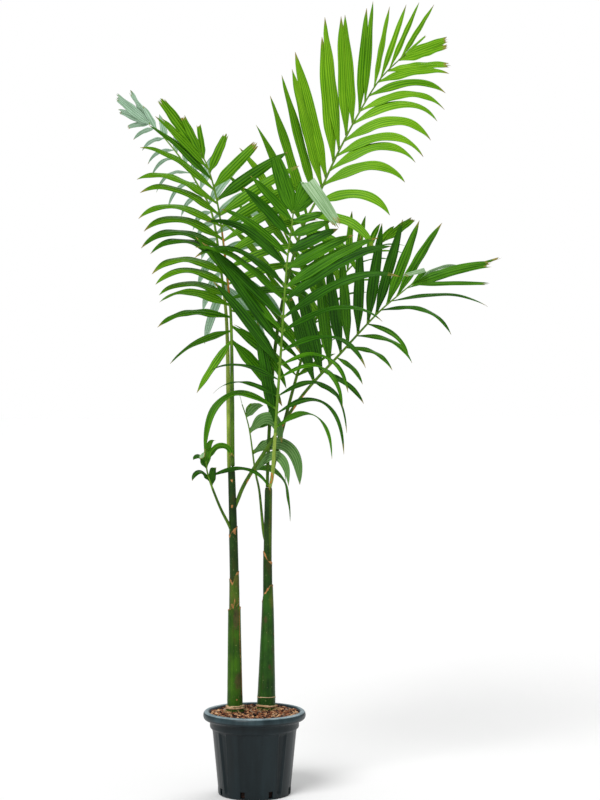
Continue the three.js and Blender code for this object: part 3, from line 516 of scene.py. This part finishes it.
# the pleated blade: upper skin first, then the lower one back again
def leafBlade(path, width, blunt, dice, dry):
    centres, ways, rims = path
    rows = len(centres)
    shares = np.linspace(0, 1, rows)[:, None]
    pleats = max(2, round(width / leaf["pleatPitch"]))
    columns = pleats * leaf["pleatColumns"] + 1
    across = np.linspace(-1, 1, columns)[None, :]
    halves = leafHalves(width, blunt, shares)
    drift = np.radians(leaf["drift"]) * dice.uniform(-1, 1) * shares ** 2
    facings = np.cross(rims, ways)
    turnedRims = rims * np.cos(drift) - facings * np.sin(drift)
    turnedFacings = facings * np.cos(drift) + rims * np.sin(drift)
    fullness = np.minimum(1, halves / leaf["fullHalf"])
    relief = leaf["pleatDepth"] * fullness * np.cos(np.pi * pleats * across)
    keel = leaf["vault"] * halves * (0.3 - np.abs(across))
    ripple = leaf["waver"] * across ** 2 * np.sin(
        2 * np.pi * (shares * dice.uniform(*leaf["waves"]) + dice.random()) + across * dice.uniform(0, 2))
    rise = relief + keel + ripple * smoothstep(shares, *leaf["waverFrom"]) * fullness
    reach = np.linalg.norm(centres[-1] - centres[-2]) * (rows - 1)
    jag = np.zeros((rows, columns))
    if blunt:
        teeth = np.array([dice.uniform(-1, 1) for _ in range(columns)])
        jag = smoothstep(shares, leaf["tornFrom"], 1) * teeth[None, :] * reach * leaf["tornDepth"]
    atEdge, atTip = leaf["thinner"]
    thick = leaf["thickness"] * (1 - atEdge * across ** 2) * (1 - atTip * shares)

    def skin(rise):
        return (centres[:, None, :] + turnedRims[:, None, :] * (halves * across)[:, :, None]
                + turnedFacings[:, None, :] * rise[:, :, None] + ways[:, None, :] * jag[:, :, None])
    points = np.concatenate([skin(rise), skin(rise - thick)[:, ::-1]], axis=1).reshape(-1, 3)
    ring = columns * 2
    k = np.arange(columns - 1)
    foot = np.stack([k, k + 1, ring - 2 - k, ring - 1 - k], axis=1)
    caps = np.concatenate([foot[:, ::-1], foot + (rows - 1) * ring])
    place, along = np.broadcast_arrays(across * pleats / 2, shares)
    layer = np.stack([place, along, np.full((rows, columns), dice.random())], axis=-1)
    blade = np.concatenate([layer, layer[:, ::-1]], axis=1).reshape(-1, 3)
    darkShare = rampAt(leaf["darkShare"], smoothstep(centres[0][2], *leaf["darkBelow"]))
    dark = dice.random() < darkShare and not blunt
    picks = np.concatenate([bladePicks(shares, columns, dry, dark), np.zeros(len(caps), dtype=int)])
    return points, np.concatenate([gridFaces(rows, ring), caps]), picks, blade


# the finish of each side of a blade, in the order light, under, dryTip, paleFoot, dark
def bladePicks(shares, columns, dry, dark):
    ring = columns * 2
    picks = np.zeros((len(shares) - 1, ring), dtype=int)
    picks[:, columns:ring - 1] = 1
    dryAt = np.clip(1 - dry * (1 + 0.6 * np.sin(np.arange(ring) * 2.3)), 0.2, 1.1)[None, :]
    faceShare = (shares[:-1] + shares[1:]) / 2
    picks = np.where(faceShare > dryAt, 2, picks)
    picks = np.where((faceShare < leaf["paleFoot"]) & (picks < 2), 3, picks)
    return np.where((picks == 0) & dark, 4, picks).ravel()


rib = dict(rows=150, columns=16, swell=1.04, groove=0.3, grooveWidth=0.5)


def ribLimb(course, frond):
    bare = frond["bare"]
    stops = np.linspace(0, 1, rib["rows"])
    aside = (fullTurn(rib["columns"]) - pi / 2) / rib["grooveWidth"]
    radii = [rampAt(frond["stalkRadius"], along / bare) if along < bare
             else rampAt(frond["ribRadius"], (along - bare) / (1 - bare)) for along in stops]
    section = rib["swell"] - rib["groove"] * np.exp(-aside ** 2)
    return sweptLimb(course, stops, frond["face"], np.outer(radii, section))


# one side's leaflets; one that would touch a neighbour is tilted, and left out where no tilt clears it
def growSide(frond, course, sideName, draw, neighbours):
    side = frond[sideName]
    hand = 1 if sideName == "left" else -1
    paths = []
    for number in range(side["count"]):
        order = number / (side["count"] - 1)
        first, jitter = leaf["place"]
        share = (number + first + jitter * draw()) / side["count"]
        place = frond["bare"] + (1 - frond["bare"]) * share
        reach = rampAt(side["reach"], order) * (1 + leaf["reachJitter"] * draw())
        spreadJitter = leaf["angleJitter"] * draw()
        liftJitter = leaf["angleJitter"] * draw()
        twist = hand * side["louvre"] + leaf["twistJitter"] * draw()
        way, across, looking = frameAt(course, place, frond["face"])
        width = rampAt(side["width"], order)
        blunt = order > side.get("bluntFrom", 1)
        for nudge in leaf["nudges"]:
            spread = radians(rampAt(side["spread"], order) + spreadJitter + nudge / 2)
            lift = radians(rampAt(side["lift"], order) + liftJitter + nudge)
            heading = (way * cos(spread) + across * (hand * sin(spread) * cos(lift))
                       + looking * (sin(spread) * sin(lift)))
            path = leafPath(course.pointAt(place), heading, way * hand, reach, rampAt(side["sag"], order),
                            rampAt(side["turn"], order), twist)
            if hasRoom(path, width, blunt, neighbours):
                paths.append((path, width, blunt, leaf["dry"]))
                break
    return paths


def growTips(frond, course, neighbours):
    way, across, looking = frameAt(course, 1, frond["face"])
    root = course.pointAt(1) - way * leaf["tipSunk"]
    paths = []
    for side, lift, reach, width, sag, *fold in frond["tips"]:
        side, lift = radians(side), radians(lift)
        heading = (way * (cos(side) * cos(lift)) + across * (sin(side) * cos(lift))
                   + looking * sin(lift))
        path = leafPath(root, heading, -across, reach, sag, 0, 0, *fold)
        if hasRoom(path, width, True, neighbours):
            paths.append((path, width, True, leaf["tipDry"]))
    return paths


# a solid of the frame, to feel for
def feeler(name):
    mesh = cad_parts[name].data
    points = [tuple(vertex.co / metre) for vertex in mesh.vertices]
    return BVHTree.FromPolygons(points, [tuple(polygon.vertices) for polygon in mesh.polygons])


# the ridge of a pleat and its valleys, whose darker colour is painted shade, for the upper side, a darker
# upper side and the lower side
greens = dict(
    backlit=[((134, 188, 34), (76, 138, 6)), ((112, 170, 22), (58, 118, 4)), ((146, 192, 66), (92, 146, 24))],
    bright=[((112, 170, 22), (52, 110, 0)), ((76, 134, 12), (32, 84, 0)), ((116, 156, 90), (68, 110, 50))],
    deep=[((80, 140, 16), (34, 86, 0)), ((54, 112, 8), (20, 62, 0)), ((170, 200, 158), (118, 156, 104))],
    pale=[((92, 146, 50), (40, 88, 14)), ((64, 116, 34), (26, 68, 8)), ((170, 200, 176), (116, 152, 118))],
)
shades = {name: [leafFinish(name + side, *pair, rough, 0.3 if name == "deep" else 0.6)
                 for side, pair, rough in zip(("Light", "Dark", "Under"), pairs, (0.4, 0.4, 0.5))]
          for name, pairs in greens.items()}
dryTip = leafFinish("dryTip", (172, 158, 84), (118, 100, 40), 0.7)
paleFoot = leafFinish("paleFoot", (130, 168, 66), (88, 130, 36), 0.5)
stalkGreen = barkFinish("stalkGreen", (84, 120, 30), (40, 74, 12), 0.42)
ribGreen = barkFinish("ribGreen", (112, 152, 44), (66, 108, 20), 0.42)
stalkTan = barkFinish("stalkTan", (206, 138, 66), (146, 88, 36), 0.6)
stalkLight = barkFinish("stalkLight", (156, 176, 78), (104, 134, 42), 0.42)
lightStalks = ("backLeft", "middle")
# tan streaks on a stalk: from and to along it, the column it runs on and half its width in columns
streaks = dict(left=[(0.55, 0.74, 4.5, 2.6)], right=[(0.3, 0.5, 7, 1.2), (0.1, 0.16, 7, 1.2)],
               middle=[(0.02, 0.06, 3, 1.2)])


# the frame calls the topRight frond top_right
def nodeName(kind, name):
    return kind + "_" + "".join("_" + letter.lower() if letter.isupper() else letter for letter in name)


def makeRib(name, frond, points, faces):
    picks = [0 if k < frond["bare"] * len(faces) else 1 for k in range(len(faces))]
    for start, end, turn, half in streaks.get(name, []):
        for row in range(int(start * rib["rows"]), int(end * rib["rows"])):
            middle = turn + 1.3 * sin(row * 0.37)
            for column in range(rib["columns"]):
                if abs(column + 0.5 - middle) < half + 0.8 * sin(row * 1.7 + column):
                    picks[row * rib["columns"] + column] = 2
    finishes = [stalkLight if name in lightStalks else stalkGreen, ribGreen, stalkTan]
    makePiece("rib-" + name, points, faces, finishes, picks, [nodeName("stalk", name)])


# a frond's leaflets as one piece, whose surface comes back for the next fronds to feel for
def makeLeaflets(name, frond, course, neighbours):
    draw = seededDraws(frond["seed"])
    dice = random.Random(frond["seed"])
    paths = growSide(frond, course, "left", draw, neighbours)
    paths += growSide(frond, course, "right", draw, neighbours)
    paths += growTips(frond, course, neighbours)
    blades = [leafBlade(path, width, blunt, dice, dry * dice.uniform(*leaf["dryLot"]))
              for path, width, blunt, dry in paths]
    points, faces, picks, layers = zip(*blades)
    starts = np.cumsum([0] + [len(some) for some in points[:-1]])
    allFaces = np.concatenate([quads + start for quads, start in zip(faces, starts)]).tolist()
    allPoints = np.concatenate(points)
    light, dark, under = shades[frond["shade"]]
    makePiece("leaflets-" + name, allPoints, allFaces, [light, under, dryTip, paleFoot, dark],
              np.concatenate(picks), [nodeName("frond", name)], np.concatenate(layers))
    return BVHTree.FromPolygons(allPoints.tolist(), allFaces)


courses = {name: Course(frond["rib"]) for name, frond in fronds.items()}
ribs = {name: ribLimb(courses[name], frond) for name, frond in fronds.items()}
ribTrees = {name: BVHTree.FromPolygons(points, faces) for name, (points, faces) in ribs.items()}
grown = [feeler("stem_left"), feeler("stem_right")] + [feeler(nodeName("stalk", name)) for name in fronds]
for name, frond in fronds.items():
    neighbours = grown + [tree for other, tree in ribTrees.items() if other != name]
    grown.append(makeLeaflets(name, frond, courses[name], neighbours))
    makeRib(name, frond, *ribs[name])
print("fronds done")


# Angles go anticlockwise from the right, and 270 is the front. A sheath is its start and end along the axis,
# its radii at foot and mouth, how much higher its mouth is on one side, where that side is, and its mouth's
# teeth: angle, height, half width. A ring is a height and a half height, and a blotch an angle and a height,
# its half width and half height, and the number of its finish. Lower and middle are numbers of finishes too.
stems = {}
stems["left"] = dict(
    axis=[(-52, 12, 210), (-53.5, 12, 420), (-54, 12, 560), (-57, 12, 700), (-61.5, 12, 855)],
    sheaths=[
        (0, 0.03, 23.4, 24.2, 0, 0, []),
        (0, 0.43, 21, 16.6, 4, -20, [(246, 13, 10), (275, 24, 12), (306, 8, 14), (90, 8, 40)]),
        (0.38, 0.565, 14.6, 12.8, 12, 0, [(252, -15, 24), (200, 4, 24), (75, -7, 30)]),
        (0.52, 0.75, 12, 11.4, 10, -10, [(230, -6, 30)]),
        (0.7, 1, 10.8, 9.4, 0, 0, []),
    ],
    rings=[(224.5, 2.6), (229.2, 1.0)],
    blotches=[(306, 296, 40, 24, 5), (332, 262, 20, 14, 5), (288, 462, 34, 34, 5), (285, 247, 6, 3, 3),
              (324, 430, 6, 90, 3), (334, 300, 5, 60, 3), (292, 688, 20, 5, 3), (262, 758, 18, 5, 3),
              (270, 826, 20, 5, 3), (120, 380, 26, 22, 5), (60, 560, 14, 12, 3)],
    lower=0, middle=6,
)
stems["right"] = dict(
    axis=[(30, 38, 210), (32.5, 38, 350), (34.5, 38, 480), (34, 38, 620), (36.5, 38, 806)],
    sheaths=[
        (0, 0.03, 25, 25.2, 0, 0, []),
        (0, 0.53, 25.2, 14.4, 23, 0,
         [(222, 12, 18), (258, 15, 26), (300, 7, 20), (350, -4, 22), (140, 6, 20)]),
        (0.45, 0.69, 12.8, 11.8, 15, 180, [(275, -8, 26)]),
        (0.64, 1, 11, 9.8, 0, 0, []),
    ],
    rings=[(225.5, 2.6), (249.0, 0.9)],
    blotches=[(342, 415, 8, 6, 3), (318, 516, 46, 34, 6), (250, 455, 20, 12, 5), (290, 330, 14, 9, 5),
              (312, 715, 34, 118, 6), (300, 815, 20, 5, 3), (110, 430, 24, 18, 5), (40, 300, 20, 14, 5)],
    lower=7, middle=1,
)
bark = dict(rows=420, columns=96, soilLevel=212.5, edgeBand=4.2, lip=0.9, lipHeight=3, ringRelief=1.2,
            topRound=0.14, topDepth=10, noMouth=500.0)
stemFinishes = [
    barkFinish("stemLower", (60, 104, 8), (24, 58, 4), 0.4, (120, 120, 5), stain=(66, 66, 18)),
    barkFinish("stemUpper", (36, 68, 16), (14, 36, 8), 0.38, (160, 160, 6), stain=(52, 54, 18)),
    barkFinish("stemRing", (232, 204, 168), (160, 118, 76), 0.7),
    barkFinish("sheathEdge", (196, 142, 88), (128, 82, 44), 0.7),
    barkFinish("stemFoot", (66, 100, 30), (26, 48, 14), 0.6),
    barkFinish("stemBlotch", (84, 84, 40), (46, 44, 24), 0.65, (200, 200, 60), 0.5),
    barkFinish("stemMiddle", (76, 104, 24), (36, 62, 10), 0.42, (140, 140, 6), stain=(92, 82, 34)),
    barkFinish("stemCool", (46, 92, 20), (20, 52, 12), 0.4, (120, 120, 5), stain=(60, 66, 26)),
]
stemUpper, stemRing, sheathEdge, stemFoot = 1, 2, 3, 4


def turnAway(angleGrid, turn):
    return np.degrees(np.angle(np.exp(1j * (angleGrid - radians(turn)))))


# the outermost sheath at every point: its radius, its number and how far its mouth is above
def sheathGrids(stem, length, alongGrid, angleGrid, dice):
    radii = np.zeros_like(alongGrid)
    layer = np.zeros(alongGrid.shape, dtype=int)
    edgeAway = np.full_like(alongGrid, bark["noMouth"])
    for number, (start, end, foot, mouth, slant, facing, teeth) in enumerate(stem["sheaths"]):
        rise = slant * np.cos(angleGrid - radians(facing))
        rise = rise + sum(np.sin(angleGrid * waves + dice.uniform(0, 6)) * dice.uniform(0.3, 0.9)
                          for waves in (3, 5, 9, 14))
        for turn, height, half in teeth:
            rise = rise + height * np.exp(-(turnAway(angleGrid, turn) / half) ** 2)
        share = (alongGrid - start) / (end - start)
        away = (end + rise / length - alongGrid) * length
        if end >= 1:
            away = np.full_like(away, bark["noMouth"])
        radius = foot + (mouth - foot) * np.clip(share, 0, 1.3)
        radius = radius + bark["lip"] * np.exp(-np.maximum(away, 0) / bark["lipHeight"])
        inside = (away > 0) & (share >= 0) & (radius > radii)
        radii = np.where(inside, radius, radii)
        layer = np.where(inside, number, layer)
        edgeAway = np.where(inside, away, edgeAway)
    return radii, layer, edgeAway


# fine fibres, the folds of old bark near the soil, and the rounded top
def stemRelief(radii, heights, belowTop, angleGrid):
    fibres = 0.12 * np.sin(angleGrid * 31 + np.sin(heights / 60) * 2)
    fibres = fibres + 0.1 * np.sin(angleGrid * 12 + heights / 90)
    folds = 0.18 * np.sin(heights / 7.5 + np.sin(angleGrid * 2) * 1.5) * np.exp(-(heights - 214) / 90)
    radii = radii + fibres + folds
    return radii * (1 - bark["topRound"] * np.clip(1 - belowTop / bark["topDepth"], 0, 1) ** 2)


def makeStem(name, stem):
    course = Course(stem["axis"])
    rows, columns = bark["rows"], bark["columns"]
    foot = stem["axis"][0][2]
    stops = np.linspace((bark["soilLevel"] - foot) / course.length, 1, rows)
    alongGrid, angleGrid = np.meshgrid(stops, fullTurn(columns), indexing="ij")
    heights = foot + alongGrid * course.length
    radii, layer, edgeAway = sheathGrids(stem, course.length, alongGrid, angleGrid, random.Random(name))
    radii = stemRelief(radii, heights, (1 - alongGrid) * course.length, angleGrid)
    picks = np.choose(np.minimum(layer, 3), [stemFoot, stem["lower"], stem["middle"], stemUpper])
    speckle = np.random.default_rng(len(name)).random((rows, columns))
    for turn, height, halfTurn, halfHeight, finish in stem["blotches"]:
        near = np.exp(-(turnAway(angleGrid, turn) / halfTurn) ** 2 - ((heights - height) / halfHeight) ** 2)
        picks = np.where((near * (0.55 + 0.9 * speckle) > 0.5) & (layer > 0), finish, picks)
    for height, half in stem["rings"]:
        sway = height + 0.8 * np.sin(angleGrid * 2 + height)
        band = np.exp(-((heights - sway) / half) ** 4)
        radii = radii + bark["ringRelief"] * band
        picks = np.where(band > 0.5, stemRing, picks)
    torn = bark["edgeBand"] * (1 + 0.8 * np.sin(angleGrid * 4 + layer * 2.1))
    picks = np.where((edgeAway < np.maximum(torn, 0.9)) & (layer > 0), sheathEdge, picks)
    points, faces = sweptLimb(course, stops, behind, radii)
    makePiece("stemBark-" + name, points, faces, stemFinishes,
              picks[:-1].ravel().tolist() + [stemFoot, stemUpper], ["stem_" + name])


# the facing of a limb that has none of its own: straight back from end to end
behind = ((0, 1, 0), (0, 1, 0))
for name, stem in stems.items():
    makeStem(name, stem)
print("stems done")


pot = dict(
    height=219, rimRadius=135.7, lipDrop=23, lipHalf=9, lipDepth=14, shoulderDrop=44, shoulderRadius=118,
    bodyTopRadius=112.5, footRadius=96, footRound=2.6, wall=5.5, floor=4, segments=480, flutes=4,
    fluteFirst=42.5, fluteWidth=28, fluteFootWidth=13, fluteDepth=4.2, fluteRidge=0.5, fluteStart=(10, 22),
    fluteEnd=(12, 3), panelBefore=64, panelTurn=52, panelEase=1.6, panelDepth=1.1, drains=8,
    drainFirst=27.5, drainWidth=12, drainHeight=17,
)


# the pot's outline from the middle of its underside, over the lip and down to its floor
def potProfile():
    rim, shoulder = pot["rimRadius"], pot["shoulderRadius"]
    bodyTop, foot = pot["bodyTopRadius"], pot["footRadius"]
    lipBottom = pot["height"] - pot["lipDrop"]
    bodyEnd = pot["height"] - pot["shoulderDrop"]
    outside = [(0.5, 0), (60, 0), (foot - 4, 0), (foot - 1.4, 0.7), (foot, pot["footRound"])]
    body = [(foot + (bodyTop - foot) * s, pot["footRound"] + (bodyEnd - 3 - pot["footRound"]) * s)
            for s in np.linspace(0.02, 1, 56)]
    step = [(bodyTop + 1.2, bodyEnd - 1.8), (bodyTop + 4.4, bodyEnd + 0.2), (shoulder - 0.3, bodyEnd + 2),
            (shoulder, bodyEnd + 5), (shoulder, bodyEnd + 14)]
    lip = [(shoulder + 0.4, lipBottom - 1.5), (shoulder + 3, lipBottom)]
    lip += [(rim - pot["lipHalf"] + pot["lipHalf"] * cos(a),
             lipBottom + pot["lipDrop"] / 2 + pot["lipDrop"] / 2 * sin(a))
            for a in np.radians(np.linspace(-80, 95, 22))]
    lip += [(rim - pot["lipDepth"], pot["height"] - 1.4), (rim - 17, pot["height"] - 6),
            (shoulder - 2.4, lipBottom + 4)]
    inside = [(bodyTop - pot["wall"], bodyEnd - 6), (foot - pot["wall"], pot["floor"]), (0.5, pot["floor"])]
    return outside + body + step + lip + inside, len(outside), len(outside) + len(body)


# how deep the flutes and the panels between them cut into the body
def potSunk(radius, height, turn):
    top = pot["height"] - pot["shoulderDrop"]
    pitch = 360 / pot["flutes"]
    ends = smoothstep(height, *pot["fluteStart"])
    ends *= 1 - smoothstep(height, *(top - drop for drop in pot["fluteEnd"]))
    wide = rampAt((pot["fluteFootWidth"], pot["fluteWidth"]), height / top)
    halfWidth = degrees(wide / 2 / radius)
    aside = abs((turn - pot["fluteFirst"] + pitch / 2) % pitch - pitch / 2)
    flute = 1 - smoothstep(aside, halfWidth * 0.72, halfWidth)
    ridge = pot["fluteRidge"] * exp(-((aside - halfWidth * 1.06) / 0.9) ** 2)
    rest = (turn - pot["fluteFirst"] + pot["panelBefore"]) % pitch
    panel = smoothstep(rest, 0, pot["panelEase"])
    panel *= 1 - smoothstep(rest, pot["panelTurn"], pot["panelTurn"] + pot["panelEase"])
    return ends * (pot["fluteDepth"] * flute + pot["panelDepth"] * panel * (1 - flute) - ridge)


def openDrains(piece):
    corners = []
    for number in range(pot["drains"]):
        spin = Matrix.Rotation(radians(pot["drainFirst"] + number * 360 / pot["drains"]), 4, "Z")
        centre = Vector((0, -pot["footRadius"], pot["floor"] + 0.3 + pot["drainHeight"] / 2))
        half = Vector((pot["drainWidth"] / 2, pot["wall"] * 4, pot["drainHeight"] / 2))
        corners += [spin @ (centre + half * Vector(corner)) * metre for corner in boxCorners]
    slots = bpy.data.meshes.new("drainSlots")
    slots.from_pydata(corners, [], np.concatenate([boxQuads + 8 * n for n in range(pot["drains"])]).tolist())
    cutter = addObject("drainSlots", slots)
    cut = piece.modifiers.new("drains", "BOOLEAN")
    cut.operation = "DIFFERENCE"
    cut.object = cutter
    cut.solver = "EXACT"
    graph = bpy.context.evaluated_depsgraph_get()
    opened = bpy.data.meshes.new_from_object(piece.evaluated_get(graph))
    piece.modifiers.clear()
    piece.data = opened
    bpy.data.objects.remove(cutter)


def makePot():
    profile, bodyStart, bodyEnd = potProfile()
    points = []
    for row, (radius, height) in enumerate(profile):
        for step in range(pot["segments"]):
            turn = step * 360 / pot["segments"]
            sunk = radius - (potSunk(radius, height, turn) if bodyStart <= row < bodyEnd else 0)
            points.append((*onCircle(sunk, radians(turn - 90)), height))
    # the lip is painted lighter than the body and its top lighter still: painted highlights on the one slate
    # plastic
    plastics = [potFinish("slatePlastic", (12, 22, 25), (26, 39, 43)),
                potFinish("paintedHighlightLip", (22, 36, 40), (52, 70, 75)),
                potFinish("paintedHighlightLipTop", (92, 112, 118), (150, 168, 174))]
    picks = []
    # faces near the top of the lip take the painted highlights, the topmost band the lightest
    for (radius, height), (_, nextHeight) in zip(profile, profile[1:]):
        below = pot["height"] - min(height, nextHeight)
        paintedHighlightOnLip = below < pot["lipDrop"] - 6 and radius > pot["shoulderRadius"]
        picks += [2 if paintedHighlightOnLip and below < 3.6 else 1 if paintedHighlightOnLip else 0] * pot["segments"]
    faces = tubeFaces(len(profile), pot["segments"])
    openDrains(makePiece("pot-shell", points, faces, plastics, picks + [0, 0], ["pot"]))


makePot()
print("pot done")


# a foot is where a stem stands, how far chips keep from its axis, and how far out its roots come up
soil = dict(
    surface=214, radius=113.5, chips=3000, sizes=(0.6, 0.8, 1, 1, 1.3), tones=(0, 0, 0, 0, 1, 1, 2, 2, 2, 3),
    mound=1.6, rings=24, segments=72, roots=60, feet=[((-52, 12), 23.5, 24), ((30, 38), 25, 25)],
)
chipFinishes = [
    chipFinish("chipRust", (158, 100, 66), (86, 48, 32)),
    chipFinish("chipTan", (232, 190, 146), (164, 116, 76)),
    # dark umber is the colour of some chips and of the bed, where it is also painted shade in the gaps
    # between the chips
    chipFinish("chipUmberAndGapShade", (52, 30, 22), (18, 11, 9)),
    chipFinish("chipGrey", (190, 166, 142), (110, 88, 70)),
]


# one chip: a box with its corners moved and its top smaller, turned and laid down
def makeChip(dice, x, y):
    size = dice.choice(soil["sizes"])
    half = np.array([dice.uniform(2.6, 6), dice.uniform(1.6, 3.2), dice.uniform(1.2, 2.4)]) * size
    shape = boxCorners * half
    shape += np.array([[dice.uniform(-0.3, 0.3) * half[k] for k in range(3)] for _ in range(8)])
    shape[4:, :2] *= dice.uniform(0.55, 0.9)
    turned = Matrix.Rotation(dice.uniform(0, 6.28), 3, "Z") @ Matrix.Rotation(dice.uniform(-0.6, 0.6), 3, "X")
    turned = turned @ Matrix.Rotation(dice.uniform(-0.5, 0.5), 3, "Y")
    mound = soil["mound"] * cos(hypot(x, y) / soil["radius"] * 1.4)
    height = soil["surface"] - 3.2 + mound + dice.uniform(-3, 2.6)
    return shape @ np.array(turned).T + np.array([x, y, height])


# the rings of the bed under the chips, then two that run down inside the wall to the floor
def bedPoints(dice):
    last = soil["rings"] - 1
    rings = [(max(0.5, (soil["radius"] + 0.3) * ring / last), soil["surface"] - 5.5, 1)
             for ring in range(last + 1)]
    rings += [(pot["bodyTopRadius"] - pot["wall"] - 3, pot["height"] - pot["shoulderDrop"] - 6, 0),
              (pot["footRadius"] - pot["wall"] - 3, pot["floor"] + 0.3, 0)]
    points = []
    for radius, height, rough in rings:
        for step in range(soil["segments"]):
            bump = dice.uniform(-1, 1) if rough else 0
            points.append((*onCircle(radius, 2 * pi * step / soil["segments"]), height + bump))
    return points


def makeSoil():
    dice = random.Random(5)
    points, faces, picks = [], [], []
    while len(points) < soil["chips"]:
        radius = soil["radius"] * sqrt(dice.random())
        x, y = onCircle(radius, dice.uniform(0, 2 * pi))
        if any(hypot(x - foot[0], y - foot[1]) < keep for foot, keep, _ in soil["feet"]):
            continue
        faces.append(boxQuads + len(points) * 8)
        points.append(makeChip(dice, x, y))
        picks += [dice.choice(soil["tones"])] * 6
    start = len(points) * 8
    bed = [[start + k for k in face] for face in tubeFaces(soil["rings"] + 2, soil["segments"])]
    points.append(np.array(bedPoints(dice)))
    faces = np.concatenate(faces).tolist() + bed
    # the bed takes the dark umber: painted shade in the gaps between the chips
    picks += [2] * len(bed)
    makePiece("bark-mix", np.concatenate(points), faces, chipFinishes, picks, ["soil"], flat=True)


def makeRoots():
    dice = random.Random(9)
    points, faces = [], []
    stops = np.linspace(0, 1, 14)
    for number in range(soil["roots"]):
        foot, _, radius = soil["feet"][1 if number % 4 else 0]
        turn = dice.uniform(-2.9, 0.3)
        x, y = onCircle(radius, turn)
        start = Vector((foot[0] + x, foot[1] + y, dice.uniform(214, 220)))
        out = Vector((cos(turn + dice.uniform(-0.7, 0.7)), sin(turn + dice.uniform(-0.7, 0.7)), 0))
        length = dice.uniform(9, 26)
        course = Course([
            start - out * 3,
            start + out * length * 0.35 + up * dice.uniform(-1, 3),
            start + out * length * 0.7 + Vector((dice.uniform(-3, 3), dice.uniform(-3, 3), -1.5)),
            start + out * length + Vector((dice.uniform(-4, 4), dice.uniform(-4, 4), -4)),
        ])
        radii = np.outer(dice.uniform(0.45, 0.95) * (1 - 0.6 * stops), np.ones(6))
        some, quads = sweptLimb(course, stops, behind, radii)
        faces += [[k + len(points) for k in quad] for quad in quads]
        points += some
    straw = barkFinish("strawRoot", (206, 180, 128), (158, 126, 82), 0.7)
    makePiece("straw-roots", points, faces, [straw], [0] * len(faces), ["soil"])


makeSoil()
makeRoots()
print("soil done")


studio = dict(
    floorSide=200, floorTint=(0.93, 0.93, 0.93, 1), sky=(1, 1, 1, 1), skyStrength=0.42,
    suns=[dict(name="keySun", place=(-0.55, -1.0, 1.15), strength=2.1, spread=30),
          dict(name="backSun", place=(0.5, 1.0, 1.3), strength=0.9, spread=40)],
    lens=79.9, sensor=36, cameraPlace=(0.1204, -4.7, 1.04),
)


def makeFloor():
    half = studio["floorSide"] / 2
    mesh = bpy.data.meshes.new("studioFloor")
    corners = [(-half, -half, 0), (half, -half, 0), (half, half, 0), (-half, half, 0)]
    mesh.from_pydata(corners, [], [(0, 1, 2, 3)])
    paint = Finish("floorPaint", 0.85)
    paint.shader.inputs["Base Color"].default_value = studio["floorTint"]
    mesh.materials.append(paint.material)
    floor = addObject("studioFloor", mesh)


# the camera sees the plain sky, and everything else is lit by it at its strength
def makeSky():
    world = bpy.data.worlds.new("studioSky")
    world.use_nodes = True
    nodes, links = world.node_tree.nodes, world.node_tree.links
    lit = nodes["Background"]
    seen = nodes.new("ShaderNodeBackground")
    for background in (lit, seen):
        background.inputs["Color"].default_value = studio["sky"]
    lit.inputs["Strength"].default_value = studio["skyStrength"]
    choose = nodes.new("ShaderNodeMixShader")
    rays = nodes.new("ShaderNodeLightPath")
    links.new(rays.outputs["Is Camera Ray"], choose.inputs[0])
    links.new(lit.outputs[0], choose.inputs[1])
    links.new(seen.outputs[0], choose.inputs[2])
    links.new(choose.outputs[0], nodes["World Output"].inputs["Surface"])
    bpy.context.scene.world = world


def makeSuns():
    for lamp in studio["suns"]:
        light = bpy.data.lights.new(lamp["name"], "SUN")
        light.energy = lamp["strength"]
        light.angle = radians(lamp["spread"])
        sun = addObject(lamp["name"], light)
        sun.rotation_euler = Vector(lamp["place"]).to_track_quat("Z", "Y").to_euler()


def makeCamera():
    lens = bpy.data.cameras.new("photoCamera")
    lens.lens = studio["lens"]
    lens.sensor_width = studio["sensor"]
    camera = addObject("photoCamera", lens)
    camera.location = studio["cameraPlace"]
    camera.rotation_euler = (radians(90), 0, 0)
    bpy.context.scene.camera = camera


makeFloor()
makeSky()
makeSuns()
makeCamera()
bpy.context.scene.view_settings.view_transform = "Standard"
print("studio done")
